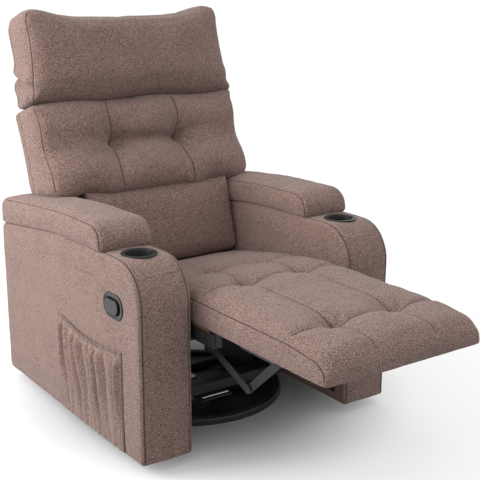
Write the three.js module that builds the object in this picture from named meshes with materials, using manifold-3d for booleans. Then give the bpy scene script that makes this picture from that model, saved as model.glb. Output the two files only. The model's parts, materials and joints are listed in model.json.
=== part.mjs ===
// A swivel glider recliner: a round floor base, a swivelling glider, a hung chair frame with padded arms,
// a sliding seat with a folding footrest, and a reclining back in three padded sections.
// Lengths are in millimetres. +Z is up, the sitter faces -Y, and the origin is on the floor under the post.
import * as THREE from "three";
import { mergeVertices } from "three/addons/utils/BufferGeometryUtils.js";
import Module from "manifold-3d";

const wasm = await Module();
wasm.setup();

// Driving dimensions
const CHAIR_WIDTH = 850;
const ARM_WIDTH = 157.5;
const ARM_FRONT_Y = -440;
const ARM_REAR_Y = 439;
const ARM_BOTTOM_Z = 30;
const ARM_TOP_Z = 570;
const SEAT_SIDE_ROOM = 17.5;
const SEAT_BOTTOM_Z = 392;
const SEAT_REAR_Y = 104;
const FOOTREST_AXIS_Y = -575;
const FOOTREST_AXIS_Z = 435;
const FOOTREST_LENGTH = 390;
const BACK_AXIS_Y = 310;
const BACK_AXIS_Z = 300;
const BACK_TILT_DEGREES = 18.6;
const BASE_RADIUS = 290;
const ARM_INNER_X = CHAIR_WIDTH / 2 - ARM_WIDTH;
const SEAT_HALF_WIDTH = ARM_INNER_X - SEAT_SIDE_ROOM;

// Clearances shared by every fit
const SEAT_GAP = 0.3;
const PIVOT_GAP = 0.3;
const OVERRUN = 20;
const MERGE_TOLERANCE = 1e-4;

// How finely round shapes are cut
const EYE_SIDES = 16;
const PIN_SIDES = 12;
const RING_STEPS = 56;
const RACE_STEPS = 28;
const CUP_STEPS = 24;
const NUT_SIDES = 6;
const CURVE_STEPS = 2;
const ARM_STEPS = 10;
const BOARD_STEPS = 5;
const EDGE_STEPS = 3;

// How squarely a crowned face runs out to its edges: the higher the power, the flatter its middle
const ROUND_POWER = 2;
const SQUARE_POWER = 4;
const BOX_POWER = 6;

// How far up a padded block its face starts to lift, as a share of its thickness
const LIFT_SHARE = 0.5;

// Round base on the floor
const BASE = {
  rimWidth: 23,
  rimHeight: 22,
  rimRound: 7,
  discThickness: 5,
  raceInner: 62,
  raceOuter: 108,
  raceHeight: 8.5,
  raceRound: 2,
  postRadius: 11,
  nutRadius: 20,
  nutHeight: 12,
};
const LOWER_RACE_Z = BASE.discThickness + SEAT_GAP;
const UPPER_RACE_Z = LOWER_RACE_Z + BASE.raceHeight + SEAT_GAP;

// Swivelling glider stand
const STAND = {
  plateRadius: 122,
  plateThickness: 6,
  beamY: 70,
  beamWidth: 30,
  beamHeight: 24,
  sheet: 6,
  sideRoom: 91.5,
  footHalf: 110,
  footHeight: 30,
  neckHalf: 70,
  neckZ: 120,
  shoulderHalf: 82,
  shoulderZ: 180,
  headHalf: 168,
  headLowZ: 191,
  headTopZ: 228,
  corner: 5,
};
const SWIVEL_PLATE_Z = UPPER_RACE_Z + BASE.raceHeight + SEAT_GAP;
const STAND_FOOT_Z = SWIVEL_PLATE_Z + STAND.plateThickness + SEAT_GAP;
const STAND_INNER_X = ARM_INNER_X - STAND.sideRoom;
const STAND_OUTER_X = STAND_INNER_X + STAND.sheet;
const STOP_BAR = { minX: -76, maxX: 18, y: -188, z: 50, radius: 4, shelf: 5, shelfLip: 10 };

// Gliding links
const LINK = {
  length: 120,
  topZ: 210,
  halfSpread: 150,
  sheet: 4,
  eyeRadius: 15,
  pinRadius: 6,
  sideGap: 1.6,
};
const LINK_LOW_Z = LINK.topZ - LINK.length;
const LINK_INNER_X = STAND_OUTER_X + LINK.sideGap;
const LINK_OUTER_X = LINK_INNER_X + LINK.sheet;

// Hung chair frame between the arms
const FRAME = {
  railSheet: 6,
  railGap: 2.4,
  railHeight: 30,
  sparWidth: 22,
  sparY: 200,
  plateSheet: 3.7,
  plateHalfLength: 400,
  plateLowZ: 60,
  runnerWidth: 33,
  runnerHeight: 10,
  panelThickness: 16,
  panelInset: 9,
  panelLowZ: 45,
  panelTopZ: 268,
  corner: 3,
};
const RAIL_INNER_X = LINK_OUTER_X + FRAME.railGap;
const RAIL_LOW_Z = LINK_LOW_Z - FRAME.railHeight / 2;
const PLATE_OUTER_X = ARM_INNER_X - SEAT_GAP;
const PLATE_INNER_X = PLATE_OUTER_X - FRAME.plateSheet;
const SPAR_END_X = PLATE_INNER_X - SEAT_GAP;

// Upholstered arms
const ARM = {
  frontRadius: 110,
  flatRearY: 20,
  rearTopY: 427,
  rearTopZ: 521,
  footRadius: 25,
  rearRadius: 24,
  edge: 7,
  wall: 14,
  panel: 16,
  panelInset: 18,
};
const ARM_CENTRE_X = CHAIR_WIDTH / 2 - ARM_WIDTH / 2;
const PAD = { frontY: -245, rearY: 428, thickness: 70, proud: 4, round: 30, crown: 3, sunk: 6 };
const CUP = { y: -310.5, rimRadius: 49.5, rimHeight: 4.5, radius: 40, wall: 2.5, depth: 62, rimRound: 2 };

// Release handle in the outer face of the sitter's right arm
const BEZEL = {
  y: -305,
  z: 441,
  length: 108,
  height: 70,
  corner: 27,
  flange: 3,
  border: 7,
  depth: 14,
  floor: 2.5,
};
const PADDLE = { gap: 2, thickness: 7, fingerGap: 24, pinRadius: 2.8, pinInset: 12, pinShort: 1.2, lip: 5 };

// Gathered side pocket
const POCKET = {
  frontY: -352,
  rearY: 31,
  lowZ: 38,
  topZ: 322,
  sag: 22,
  mouth: 15,
  sheet: 3,
  foldHeight: 4.5,
  edgeShare: 0.45,
  riseShare: 0.6,
};
const POCKET_FOLDS = 7;
const POCKET_ROWS = 6;

// Sliding seat frame
const SEAT = {
  railWidth: 28,
  railHeight: 40,
  railFrontY: -515,
  railRearY: 330,
  deck: 6,
  frontRailY: -435,
  frontRailWidth: 25,
  rearRailY: 60,
  crossHeight: 39,
  earSheet: 4,
  earHalf: 20,
  earDrop: 20,
  edgeHeight: 76,
  crown: 20,
  round: 24,
  tuftDepth: 15,
  rowDepth: 8,
  seamDepth: 5,
  creaseHalf: 26,
  front: 2,
  endShare: 0.8,
};
const SEAT_RAIL_INNER_X = SEAT_HALF_WIDTH - SEAT.railWidth;
const SEAT_RAIL_TOP_Z = SEAT_BOTTOM_Z - SEAT.deck - 2 * SEAT_GAP;
const SEAT_RAIL_LOW_Z = SEAT_RAIL_TOP_Z - SEAT.railHeight;
const TUFT_ROWS = { rear: -250, middle: -440, foot: -815 };
const TUFT_COLUMNS = { rear: 85, middle: 95, foot: 98 };

// Folding footrest
const FOOT = {
  clear: 2,
  boardDrop: 2,
  board: 10,
  boardSide: 14,
  boardRearInset: 30,
  boardFrontInset: 20,
  edgeHeight: 74,
  crown: 12,
  round: 30,
  taperStart: 165,
  taper: 26,
  plate: 3,
  plateInset: 10,
  plateSideGap: 1,
  eyeRadius: 14,
  pinRadius: 5,
  sweep: 66,
  sideSweep: 82,
  plateFront: 52,
  plateDrop: 40,
  sideGap: 0.5,
  strapLength: 200,
  strapRise: 4,
  shelfWidth: 48,
  shelfRear: 60,
  endShare: 0.7,
};
const FOOT_BOARD_HALF = SEAT_HALF_WIDTH - FOOT.boardSide;
const FOOT_PLATE_INNER_X = SEAT_HALF_WIDTH - FOOT.plateInset;
const FOOT_BOARD_TOP_Z = SEAT_BOTTOM_Z - FOOT.boardDrop + FOOT.board;

// Footrest linkage bars, in the open position
const BARS = {
  seatY: -455,
  seatZ: 328,
  footY: -740,
  footZ: 371,
  sheet: 4,
  eyeRadius: 12,
  pinRadius: 5,
  halfWidth: 11,
  railRoom: 4,
  barGap: 3,
  lugGap: 4,
};
const REAR_BAR_INNER_X = SEAT_RAIL_INNER_X - BARS.railRoom - BARS.sheet;
const FRONT_BAR_INNER_X = REAR_BAR_INNER_X - BARS.barGap - BARS.sheet;
const BAR_LUG_INNER_X = FRONT_BAR_INNER_X - BARS.lugGap - BARS.sheet;

// Reclining back: heights run up along the tilted back, depths run rearward from its pivot
const BACK = {
  stileRoom: 11,
  stileWidth: 25,
  frameFront: -150,
  frameRear: -120,
  stileLow: 0,
  stileDrop: 53,
  railHeight: 45,
  lowRail: 60,
  bracketSheet: 4,
  bracketGap: 1.5,
  bracketHalf: 22,
  bracketTop: 130,
  pinRadius: 7,
  panelThickness: 18,
  panelInset: 2,
  panelLow: -30,
  panelTop: 312,
};
const BACK_STILE_INNER_X = SEAT_RAIL_INNER_X - BACK.stileRoom - BACK.stileWidth;
const CUSHION_GAP = 8;
const LUMBAR = { low: 45, top: 288, sideProud: 6, front: -232, round: 34, crown: 10 };
const LUMBAR_HALF = SEAT_HALF_WIDTH + LUMBAR.sideProud;
const MIDDLE = { top: 567, lowInset: 47, topInset: 53, front: -196, round: 34, crown: 22 };
const MIDDLE_LOW = LUMBAR.top + CUSHION_GAP;
const MIDDLE_LOW_HALF = CHAIR_WIDTH / 2 - MIDDLE.lowInset;
const MIDDLE_TOP_HALF = CHAIR_WIDTH / 2 - MIDDLE.topInset;
const HEAD = {
  top: 868,
  lowInset: 59,
  topInset: 71,
  front: -200,
  round: 40,
  crown: 26,
  lean: 36,
  leanShare: 0.75,
  dip: 30,
  dipPower: 3,
};
const HEAD_LOW = MIDDLE.top + CUSHION_GAP;
const HEAD_LOW_HALF = CHAIR_WIDTH / 2 - HEAD.lowInset;
const HEAD_TOP_HALF = CHAIR_WIDTH / 2 - HEAD.topInset;
const BACK_STILE_TOP = HEAD.top - BACK.stileDrop;
const MIDDLE_TUFT = {
  x: 119,
  height: 428,
  depth: 26,
  spread: 30,
  seamDepth: 9,
  seamSpread: 13,
  creaseDepth: 7,
};
const SHELL = { lowRise: 22, topDrop: 18, middleRear: -66, headRear: -96, round: 26 };

// Finishes
const FABRIC = new THREE.MeshStandardMaterial({ color: 0x9c8178, roughness: 0.95, metalness: 0 });
const STEEL = new THREE.MeshStandardMaterial({ color: 0x1d1e20, roughness: 0.45, metalness: 0.6 });
const BRIGHT = new THREE.MeshStandardMaterial({ color: 0xc9c9c6, roughness: 0.3, metalness: 1 });
const PLASTIC = new THREE.MeshStandardMaterial({ color: 0x17181a, roughness: 0.4, metalness: 0 });
const TIMBER = new THREE.MeshStandardMaterial({ color: 0xb89468, roughness: 0.8, metalness: 0 });

const chair = new THREE.Group();

/** Add one named piece to a group. */
function piece(name, geometry, material, group = chair) {
  const mesh = new THREE.Mesh(geometry, material);
  mesh.name = name;
  group.add(mesh);
  return mesh;
}

/** Add a left and a right piece; make(side) builds it for side -1 (sitter's right) or +1. */
function pair(name, make, material, group = chair) {
  for (const [label, side] of [["right", -1], ["left", 1]]) {
    piece(`${name}_${label}`, make(side), material, group);
  }
}

/** Turn a closed geometry into a solid that can be cut and joined. */
function solid(geometry) {
  const bare = geometry.clone();
  bare.deleteAttribute("normal");
  bare.deleteAttribute("uv");
  const merged = mergeVertices(bare, MERGE_TOLERANCE);
  const mesh = new wasm.Mesh({
    numProp: 3,
    vertProperties: new Float32Array(merged.attributes.position.array),
    triVerts: new Uint32Array(merged.index.array),
  });
  return new wasm.Manifold(mesh);
}

/** Turn a solid back into a geometry. */
function geometryOf(body) {
  const mesh = body.getMesh();
  const geometry = new THREE.BufferGeometry();
  geometry.setAttribute("position", new THREE.BufferAttribute(new Float32Array(mesh.vertProperties), 3));
  geometry.setIndex(new THREE.BufferAttribute(new Uint32Array(mesh.triVerts), 1));
  return geometry;
}

/** Join geometries into one closed body. */
function join(...parts) {
  return geometryOf(parts.map(solid).reduce((whole, part) => whole.add(part)));
}

/** Cut tools out of a geometry. */
function cut(geometry, ...tools) {
  return geometryOf(tools.map(solid).reduce((whole, tool) => whole.subtract(tool), solid(geometry)));
}

/** Keep only what two geometries share. */
function common(first, second) {
  return geometryOf(solid(first).intersect(solid(second)));
}

/** A box between two corners, given as ranges along x, y and z. */
function block([x0, x1], [y0, y1], [z0, z1]) {
  const box = new THREE.BoxGeometry(Math.abs(x1 - x0), y1 - y0, z1 - z0);
  return box.translate((x0 + x1) / 2, (y0 + y1) / 2, (z0 + z1) / 2);
}

/** A cylinder along x. */
function rod([x0, x1], y, z, radius, sides = EYE_SIDES) {
  const cylinder = new THREE.CylinderGeometry(radius, radius, Math.abs(x1 - x0), sides);
  return cylinder.rotateZ(Math.PI / 2).translate((x0 + x1) / 2, y, z);
}

/** An outline in (y, z) pushed along x between two places. */
function sheet(shape, [x0, x1], arcSteps) {
  const geometry = new THREE.ExtrudeGeometry(shape, {
    depth: Math.abs(x1 - x0),
    bevelEnabled: false,
    curveSegments: arcSteps,
  });
  return alongX(geometry).translate(Math.min(x0, x1), 0, 0);
}

/** Stand an extrusion up, so that its outline lies in (y, z) and its depth runs along +x. */
function alongX(geometry) {
  const basis = new THREE.Matrix4().makeBasis(
    new THREE.Vector3(0, 1, 0),
    new THREE.Vector3(0, 0, 1),
    new THREE.Vector3(1, 0, 0),
  );
  return geometry.applyMatrix4(basis);
}

/** A closed outline through corner points, each rounded by its own radius. */
function roundedOutline(corners) {
  const shape = new THREE.Shape();
  corners.forEach(([y, z, radius], index) => {
    const here = new THREE.Vector2(y, z);
    const before = new THREE.Vector2(...corners.at(index - 1).slice(0, 2));
    const after = new THREE.Vector2(...corners[(index + 1) % corners.length].slice(0, 2));
    const inward = before.sub(here).normalize();
    const outward = after.sub(here).normalize();
    const reach = radius / Math.tan(inward.angleTo(outward) / 2);
    const start = here.clone().addScaledVector(inward, reach);
    const end = here.clone().addScaledVector(outward, reach);
    if (index === 0) {
      shape.moveTo(start.x, start.y);
    } else {
      shape.lineTo(start.x, start.y);
    }
    if (radius > 0) {
      shape.quadraticCurveTo(here.x, here.y, end.x, end.y);
    }
  });
  shape.closePath();
  return shape;
}

/** A bar with a round eye at each end, between two pivots in (y, z). */
function eyeBar([x0, x1], start, end, eyeRadius, halfWidth, holeRadius) {
  const length = start.distanceTo(end);
  const angle = Math.atan2(end.y - start.y, end.x - start.x);
  const flat = block([x0, x1], [0, length], [-halfWidth, halfWidth]);
  const bar = flat.rotateX(angle).translate(0, start.x, start.y);
  const eyes = [start, end].map((pivot) => rod([x0, x1], pivot.x, pivot.y, eyeRadius));
  const overX = [Math.min(x0, x1) - OVERRUN, Math.max(x0, x1) + OVERRUN];
  const holes = [start, end].map((pivot) => rod(overX, pivot.x, pivot.y, holeRadius, PIN_SIDES));
  return cut(join(bar, ...eyes), ...holes);
}

/** A smooth bump: 1 at its middle, fading over its spread. */
function bump(distance, spread) {
  return Math.exp(-((distance / spread) ** 2));
}

/** A soft step from 0 to 1 between two places. */
function ramp(value, from, to) {
  return THREE.MathUtils.smoothstep(value, from, to);
}

/**
 * A padded block with rounded edges. Width runs along x, length along y and thickness along z; the bottom
 * stays flat, and warp(point, across, along) moves each point of the padded side, where across and along
 * run from -1 to 1.
 */
function padded({ half, from, to, low, top, round, counts, warp }) {
  const [acrossCount, alongCount, upCount] = counts;
  const halfLength = (to - from) / 2;
  const middle = (from + to) / 2;
  const thickness = top - low;
  const grid = new THREE.BoxGeometry(2, 2, 2, acrossCount, alongCount, upCount);
  grid.deleteAttribute("normal");
  grid.deleteAttribute("uv");
  const geometry = mergeVertices(grid, MERGE_TOLERANCE);
  const place = geometry.attributes.position;
  for (let index = 0; index < place.count; index += 1) {
    const across = Math.sin((place.getX(index) * Math.PI) / 2);
    const along = spreadAlong(place.getY(index));
    const up = (place.getZ(index) + 1) / 2;
    const point = new THREE.Vector3(across * half, along * halfLength, up * thickness);
    const core = new THREE.Vector3(
      THREE.MathUtils.clamp(point.x, -(half - round), half - round),
      THREE.MathUtils.clamp(point.y, -(halfLength - round), halfLength - round),
      Math.min(point.z, thickness - round),
    );
    const out = point.clone().sub(core);
    if (out.length() > 0) {
      point.copy(core).addScaledVector(out.normalize(), round);
    }
    point.y += middle;
    point.z += low;
    warp?.(point, across, along, up);
    place.setXYZ(index, point.x, point.y, point.z);
  }
  return geometry;
}

/** Draw the outermost rows of a padded block towards its ends, where its edge turns. */
function spreadAlong(share) {
  const blendShare = 0.55;
  return THREE.MathUtils.lerp(share, Math.sin((share * Math.PI) / 2), blendShare);
}

/** Round base on the floor, with its post and lower bearing race. */
function buildBase() {
  const rimInner = BASE_RADIUS - BASE.rimWidth;
  piece("base_disc", upright(rimInner - SEAT_GAP, 0, BASE.discThickness, RING_STEPS), STEEL);
  piece("base_ring", ringOf(rimInner, BASE_RADIUS, 0, BASE.rimHeight, BASE.rimRound, RING_STEPS), STEEL);
  piece("lower_race", bearingRace(LOWER_RACE_Z), BRIGHT);
  const shaft = upright(BASE.postRadius, LOWER_RACE_Z, STAND_FOOT_Z + BASE.nutHeight, EYE_SIDES);
  const nut = upright(BASE.nutRadius, STAND_FOOT_Z, STAND_FOOT_Z + BASE.nutHeight, NUT_SIDES);
  piece("king_post", join(shaft, nut), BRIGHT);
}

/** A cylinder along z. */
function upright(radius, low, top, sides) {
  const cylinder = new THREE.CylinderGeometry(radius, radius, top - low, sides).rotateX(Math.PI / 2);
  return cylinder.translate(0, 0, (low + top) / 2);
}

/** A turned ring about z with rounded upper edges. */
function ringOf(inner, outer, low, height, round, steps) {
  const top = low + height;
  const profile = new THREE.Path();
  profile.moveTo(inner, low);
  profile.lineTo(outer, low);
  profile.lineTo(outer, top - round);
  profile.quadraticCurveTo(outer, top, outer - round, top);
  profile.lineTo(inner + round, top);
  profile.quadraticCurveTo(inner, top, inner, top - round);
  profile.lineTo(inner, low);
  return new THREE.LatheGeometry(profile.getPoints(CURVE_STEPS), steps).rotateX(Math.PI / 2);
}

/** One race of the swivel bearing, standing at a level. */
function bearingRace(low) {
  return ringOf(BASE.raceInner, BASE.raceOuter, low, BASE.raceHeight, BASE.raceRound, RACE_STEPS);
}

/** Swivelling stand that the gliding links hang from. */
function buildStand() {
  piece("upper_race", bearingRace(UPPER_RACE_Z), BRIGHT);
  const plateTop = SWIVEL_PLATE_Z + STAND.plateThickness;
  const plate = upright(STAND.plateRadius, SWIVEL_PLATE_Z, plateTop, RACE_STEPS);
  const postHole = upright(BASE.postRadius + PIVOT_GAP, 0, STAND_FOOT_Z + OVERRUN, EYE_SIDES);
  piece("swivel_plate", cut(plate, postHole), STEEL);
  const beamEnds = [-(STAND_INNER_X - SEAT_GAP), STAND_INNER_X - SEAT_GAP];
  const beamLevels = [STAND_FOOT_Z, STAND_FOOT_Z + STAND.beamHeight];
  const beamAt = (y) => block(beamEnds, [y - STAND.beamWidth / 2, y + STAND.beamWidth / 2], beamLevels);
  const shelfTop = STOP_BAR.z - STOP_BAR.radius - SEAT_GAP;
  const shelfRangeX = [STOP_BAR.minX - STOP_BAR.shelfLip, STOP_BAR.maxX + STOP_BAR.shelfLip];
  const shelfRangeY = [STOP_BAR.y - STOP_BAR.shelfLip, -STAND.beamY];
  const shelf = block(shelfRangeX, shelfRangeY, [shelfTop - STOP_BAR.shelf, shelfTop]);
  piece("cross_beam_front", join(beamAt(-STAND.beamY), shelf), STEEL);
  piece("cross_beam_rear", beamAt(STAND.beamY), STEEL);
  const stopBar = rod([STOP_BAR.minX, STOP_BAR.maxX], STOP_BAR.y, STOP_BAR.z, STOP_BAR.radius, PIN_SIDES);
  piece("stop_bar", stopBar, BRIGHT);
  pair("glide_stand", (side) => {
    const half = [
      [STAND.footHalf, STAND_FOOT_Z, 0],
      [STAND.footHalf, STAND_FOOT_Z + STAND.footHeight, STAND.corner],
      [STAND.neckHalf, STAND.neckZ, STAND.corner],
      [STAND.shoulderHalf, STAND.shoulderZ, STAND.corner],
      [STAND.headHalf, STAND.headLowZ, STAND.corner],
      [STAND.headHalf, STAND.headTopZ, STAND.corner],
    ];
    const mirrored = half.map(([y, z, round]) => [-y, z, round]).reverse();
    const plateX = [side * STAND_INNER_X, side * STAND_OUTER_X];
    const plateSheet = sheet(roundedOutline([...half, ...mirrored]), plateX, CURVE_STEPS);
    const pinX = [side * (STAND_INNER_X + STAND.sheet / 2), side * (LINK_OUTER_X + LINK.sideGap / 2)];
    const pins = [-1, 1].map((end) =>
      rod(pinX, end * LINK.halfSpread, LINK.topZ, LINK.pinRadius, PIN_SIDES),
    );
    return join(plateSheet, ...pins);
  }, STEEL);
}

/** Gliding links, two at the front and two at the rear. */
function buildGlideLinks() {
  for (const [label, end] of [["front", -1], ["rear", 1]]) {
    pair(`${label}_glide_link`, (side) => {
      const top = new THREE.Vector2(end * LINK.halfSpread, LINK.topZ);
      const low = new THREE.Vector2(end * LINK.halfSpread, LINK_LOW_Z);
      const rangeX = [side * LINK_INNER_X, side * LINK_OUTER_X];
      return eyeBar(rangeX, top, low, LINK.eyeRadius, LINK.eyeRadius / 2, LINK.pinRadius + PIVOT_GAP);
    }, STEEL);
  }
}

/** Hanger rails, spars, side plates with their seat runners, and the rear panel between the arms. */
function buildHungFrame() {
  const railLevels = [RAIL_LOW_Z, RAIL_LOW_Z + FRAME.railHeight];
  const sparReach = FRAME.sparWidth / 2;
  const railHalf = FRAME.sparY - sparReach - SEAT_GAP;
  pair("hanger_rail", (side) => {
    const barX = [side * RAIL_INNER_X, side * (RAIL_INNER_X + FRAME.railSheet)];
    const bar = block(barX, [-railHalf, railHalf], railLevels);
    const pinX = [side * (LINK_INNER_X - LINK.sideGap / 2), side * (RAIL_INNER_X + FRAME.railSheet / 2)];
    const pins = [-1, 1].map((end) =>
      rod(pinX, end * LINK.halfSpread, LINK_LOW_Z, LINK.pinRadius, PIN_SIDES),
    );
    return join(bar, ...pins);
  }, STEEL);
  for (const [label, end] of [["front", -1], ["rear", 1]]) {
    const rangeY = [end * FRAME.sparY - sparReach, end * FRAME.sparY + sparReach];
    piece(`hanger_spar_${label}`, block([-SPAR_END_X, SPAR_END_X], rangeY, railLevels), STEEL);
  }
  const runnerTop = SEAT_RAIL_LOW_Z - SEAT_GAP;
  pair("side_plate", (side) => {
    const rangeY = [-FRAME.plateHalfLength, FRAME.plateHalfLength];
    const outline = roundedOutline([
      [rangeY[0], FRAME.plateLowZ, FRAME.corner],
      [rangeY[1], FRAME.plateLowZ, FRAME.corner],
      [rangeY[1], runnerTop, FRAME.corner],
      [rangeY[0], runnerTop, FRAME.corner],
    ]);
    const plate = sheet(outline, [side * PLATE_INNER_X, side * PLATE_OUTER_X], CURVE_STEPS);
    const runnerEnds = [PLATE_OUTER_X - FRAME.runnerWidth, PLATE_OUTER_X - FRAME.plateSheet / 2];
    const runnerX = runnerEnds.map((x) => side * x);
    const runnerY = [rangeY[0] + FRAME.corner, rangeY[1] - FRAME.corner];
    return join(plate, block(runnerX, runnerY, [runnerTop - FRAME.runnerHeight, runnerTop]));
  }, STEEL);
  const panelRearY = ARM_REAR_Y - FRAME.panelInset;
  const panelY = [panelRearY - FRAME.panelThickness, panelRearY];
  const panelLevels = [FRAME.panelLowZ, FRAME.panelTopZ];
  piece("rear_panel", block([-PLATE_OUTER_X, PLATE_OUTER_X], panelY, panelLevels), FABRIC);
}

/** Height of the arm's upper face at a place along it. */
function armTopAt(y) {
  const fall = (ARM_TOP_Z - ARM.rearTopZ) / (ARM.rearTopY - ARM.flatRearY);
  return ARM_TOP_Z - Math.max(0, y - ARM.flatRearY) * fall;
}

/** Side outline of an arm, drawn in by an inset, down to a given level. */
function armOutline(inset, lowZ) {
  const front = ARM_FRONT_Y + inset;
  const rear = ARM_REAR_Y - inset;
  const turn = ARM.frontRadius - inset;
  const turnY = ARM_FRONT_Y + ARM.frontRadius;
  const turnZ = ARM_TOP_Z - ARM.frontRadius;
  const shape = new THREE.Shape();
  shape.moveTo(front, lowZ);
  shape.lineTo(rear - ARM.footRadius, lowZ);
  shape.quadraticCurveTo(rear, lowZ, rear, lowZ + ARM.footRadius);
  shape.lineTo(rear, ARM.rearTopZ - ARM.rearRadius - inset);
  const rearTurnY = rear - ARM.rearRadius;
  shape.quadraticCurveTo(rear, ARM.rearTopZ - inset, rearTurnY, armTopAt(rearTurnY) - inset);
  shape.lineTo(ARM.flatRearY, ARM_TOP_Z - inset);
  shape.absarc(turnY, turnZ, turn, Math.PI / 2, Math.PI, false);
  shape.lineTo(front, lowZ);
  return shape;
}

/** Hollow upholstered arm covers, open below, with the boards that stiffen them. */
function buildArms() {
  pair("arm_cover", (side) => {
    const skin = new THREE.ExtrudeGeometry(armOutline(0, ARM_BOTTOM_Z), {
      depth: ARM_WIDTH - 2 * ARM.edge,
      bevelEnabled: true,
      bevelThickness: ARM.edge,
      bevelSize: ARM.edge,
      bevelOffset: -ARM.edge,
      bevelSegments: EDGE_STEPS,
      curveSegments: ARM_STEPS,
    });
    const outer = alongX(skin).translate(ARM.edge - ARM_WIDTH / 2, 0, 0);
    const hollowHalf = ARM_WIDTH / 2 - ARM.wall;
    const hollow = sheet(armOutline(ARM.wall, ARM_BOTTOM_Z - OVERRUN), [-hollowHalf, hollowHalf], ARM_STEPS);
    const tools = [hollow, cupTool(CUP.radius + PIVOT_GAP)];
    if (side < 0) {
      tools.push(bezelBody(PIVOT_GAP).translate(ARM_CENTRE_X, 0, 0));
    }
    return cut(outer, ...tools).translate(side * ARM_CENTRE_X, 0, 0);
  }, FABRIC);
  pair("arm_board", (side) => {
    const nearX = ARM_INNER_X + ARM.wall + SEAT_GAP;
    const outline = armOutline(ARM.wall + ARM.panelInset, ARM_BOTTOM_Z + ARM.panelInset);
    return sheet(outline, [side * nearX, side * (nearX + ARM.panel)], BOARD_STEPS);
  }, TIMBER);
  pair("arm_pad", (side) => {
    const half = ARM_WIDTH / 2 + PAD.proud;
    const pad = padded({
      half,
      from: PAD.frontY,
      to: PAD.rearY,
      low: -PAD.sunk,
      top: PAD.thickness,
      round: PAD.round,
      counts: [8, 16, 3],
      warp: (point, across, along) => {
        const crown = PAD.crown * (1 - across ** ROUND_POWER) * (1 - along ** ROUND_POWER);
        point.z += armTopAt(point.y) + (point.z > PAD.thickness / 2 ? crown : 0);
      },
    });
    const seat = sheet(armOutline(-SEAT_GAP, ARM_BOTTOM_Z), [-half - OVERRUN, half + OVERRUN], ARM_STEPS);
    return cut(pad, seat).translate(side * ARM_CENTRE_X, 0, 0);
  }, FABRIC);
}

/** A cylinder down through the arm's upper face at the cup holder. */
function cupTool(radius) {
  const cylinder = upright(radius, ARM_TOP_Z - CUP.depth - OVERRUN, ARM_TOP_Z + OVERRUN, CUP_STEPS);
  return cylinder.translate(0, CUP.y, 0);
}

/** Cup holders with a broad rim. */
function buildCups() {
  pair("cup_holder", (side) => {
    const rimLow = ARM_TOP_Z + SEAT_GAP;
    const rimTop = rimLow + CUP.rimHeight;
    const inner = CUP.radius - CUP.wall;
    const profile = new THREE.Path();
    profile.moveTo(0, rimTop - CUP.depth);
    profile.lineTo(CUP.radius, rimTop - CUP.depth);
    profile.lineTo(CUP.radius, rimLow);
    profile.lineTo(CUP.rimRadius, rimLow);
    profile.lineTo(CUP.rimRadius, rimTop - CUP.rimRound);
    profile.quadraticCurveTo(CUP.rimRadius, rimTop, CUP.rimRadius - CUP.rimRound, rimTop);
    profile.lineTo(inner + CUP.rimRound, rimTop);
    profile.quadraticCurveTo(inner, rimTop, inner, rimTop - CUP.rimRound);
    profile.lineTo(inner, rimTop - CUP.depth + CUP.wall);
    profile.lineTo(0, rimTop - CUP.depth + CUP.wall);
    const cup = new THREE.LatheGeometry(profile.getPoints(CURVE_STEPS), CUP_STEPS).rotateX(Math.PI / 2);
    return cup.translate(side * ARM_CENTRE_X, CUP.y, 0);
  }, PLASTIC);
}

/** A rounded block along x with its face in (y, z), used for the bezel and its recess. */
function roundedFace([x0, x1], length, height, corner, centreY = BEZEL.y, centreZ = BEZEL.z) {
  const outline = roundedOutline([
    [centreY - length / 2, centreZ - height / 2, corner],
    [centreY + length / 2, centreZ - height / 2, corner],
    [centreY + length / 2, centreZ + height / 2, corner],
    [centreY - length / 2, centreZ + height / 2, corner],
  ]);
  return sheet(outline, [x0, x1], BOARD_STEPS);
}

/** The part of the handle bezel that sinks into the arm, grown by a gap. */
function bezelBody(gap) {
  const outerX = -(CHAIR_WIDTH / 2);
  const length = BEZEL.length - 2 * BEZEL.border + 2 * gap;
  const height = BEZEL.height - 2 * BEZEL.border + 2 * gap;
  const corner = BEZEL.corner - BEZEL.border + gap;
  return roundedFace([outerX - OVERRUN, outerX + BEZEL.depth + gap], length, height, corner);
}

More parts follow.
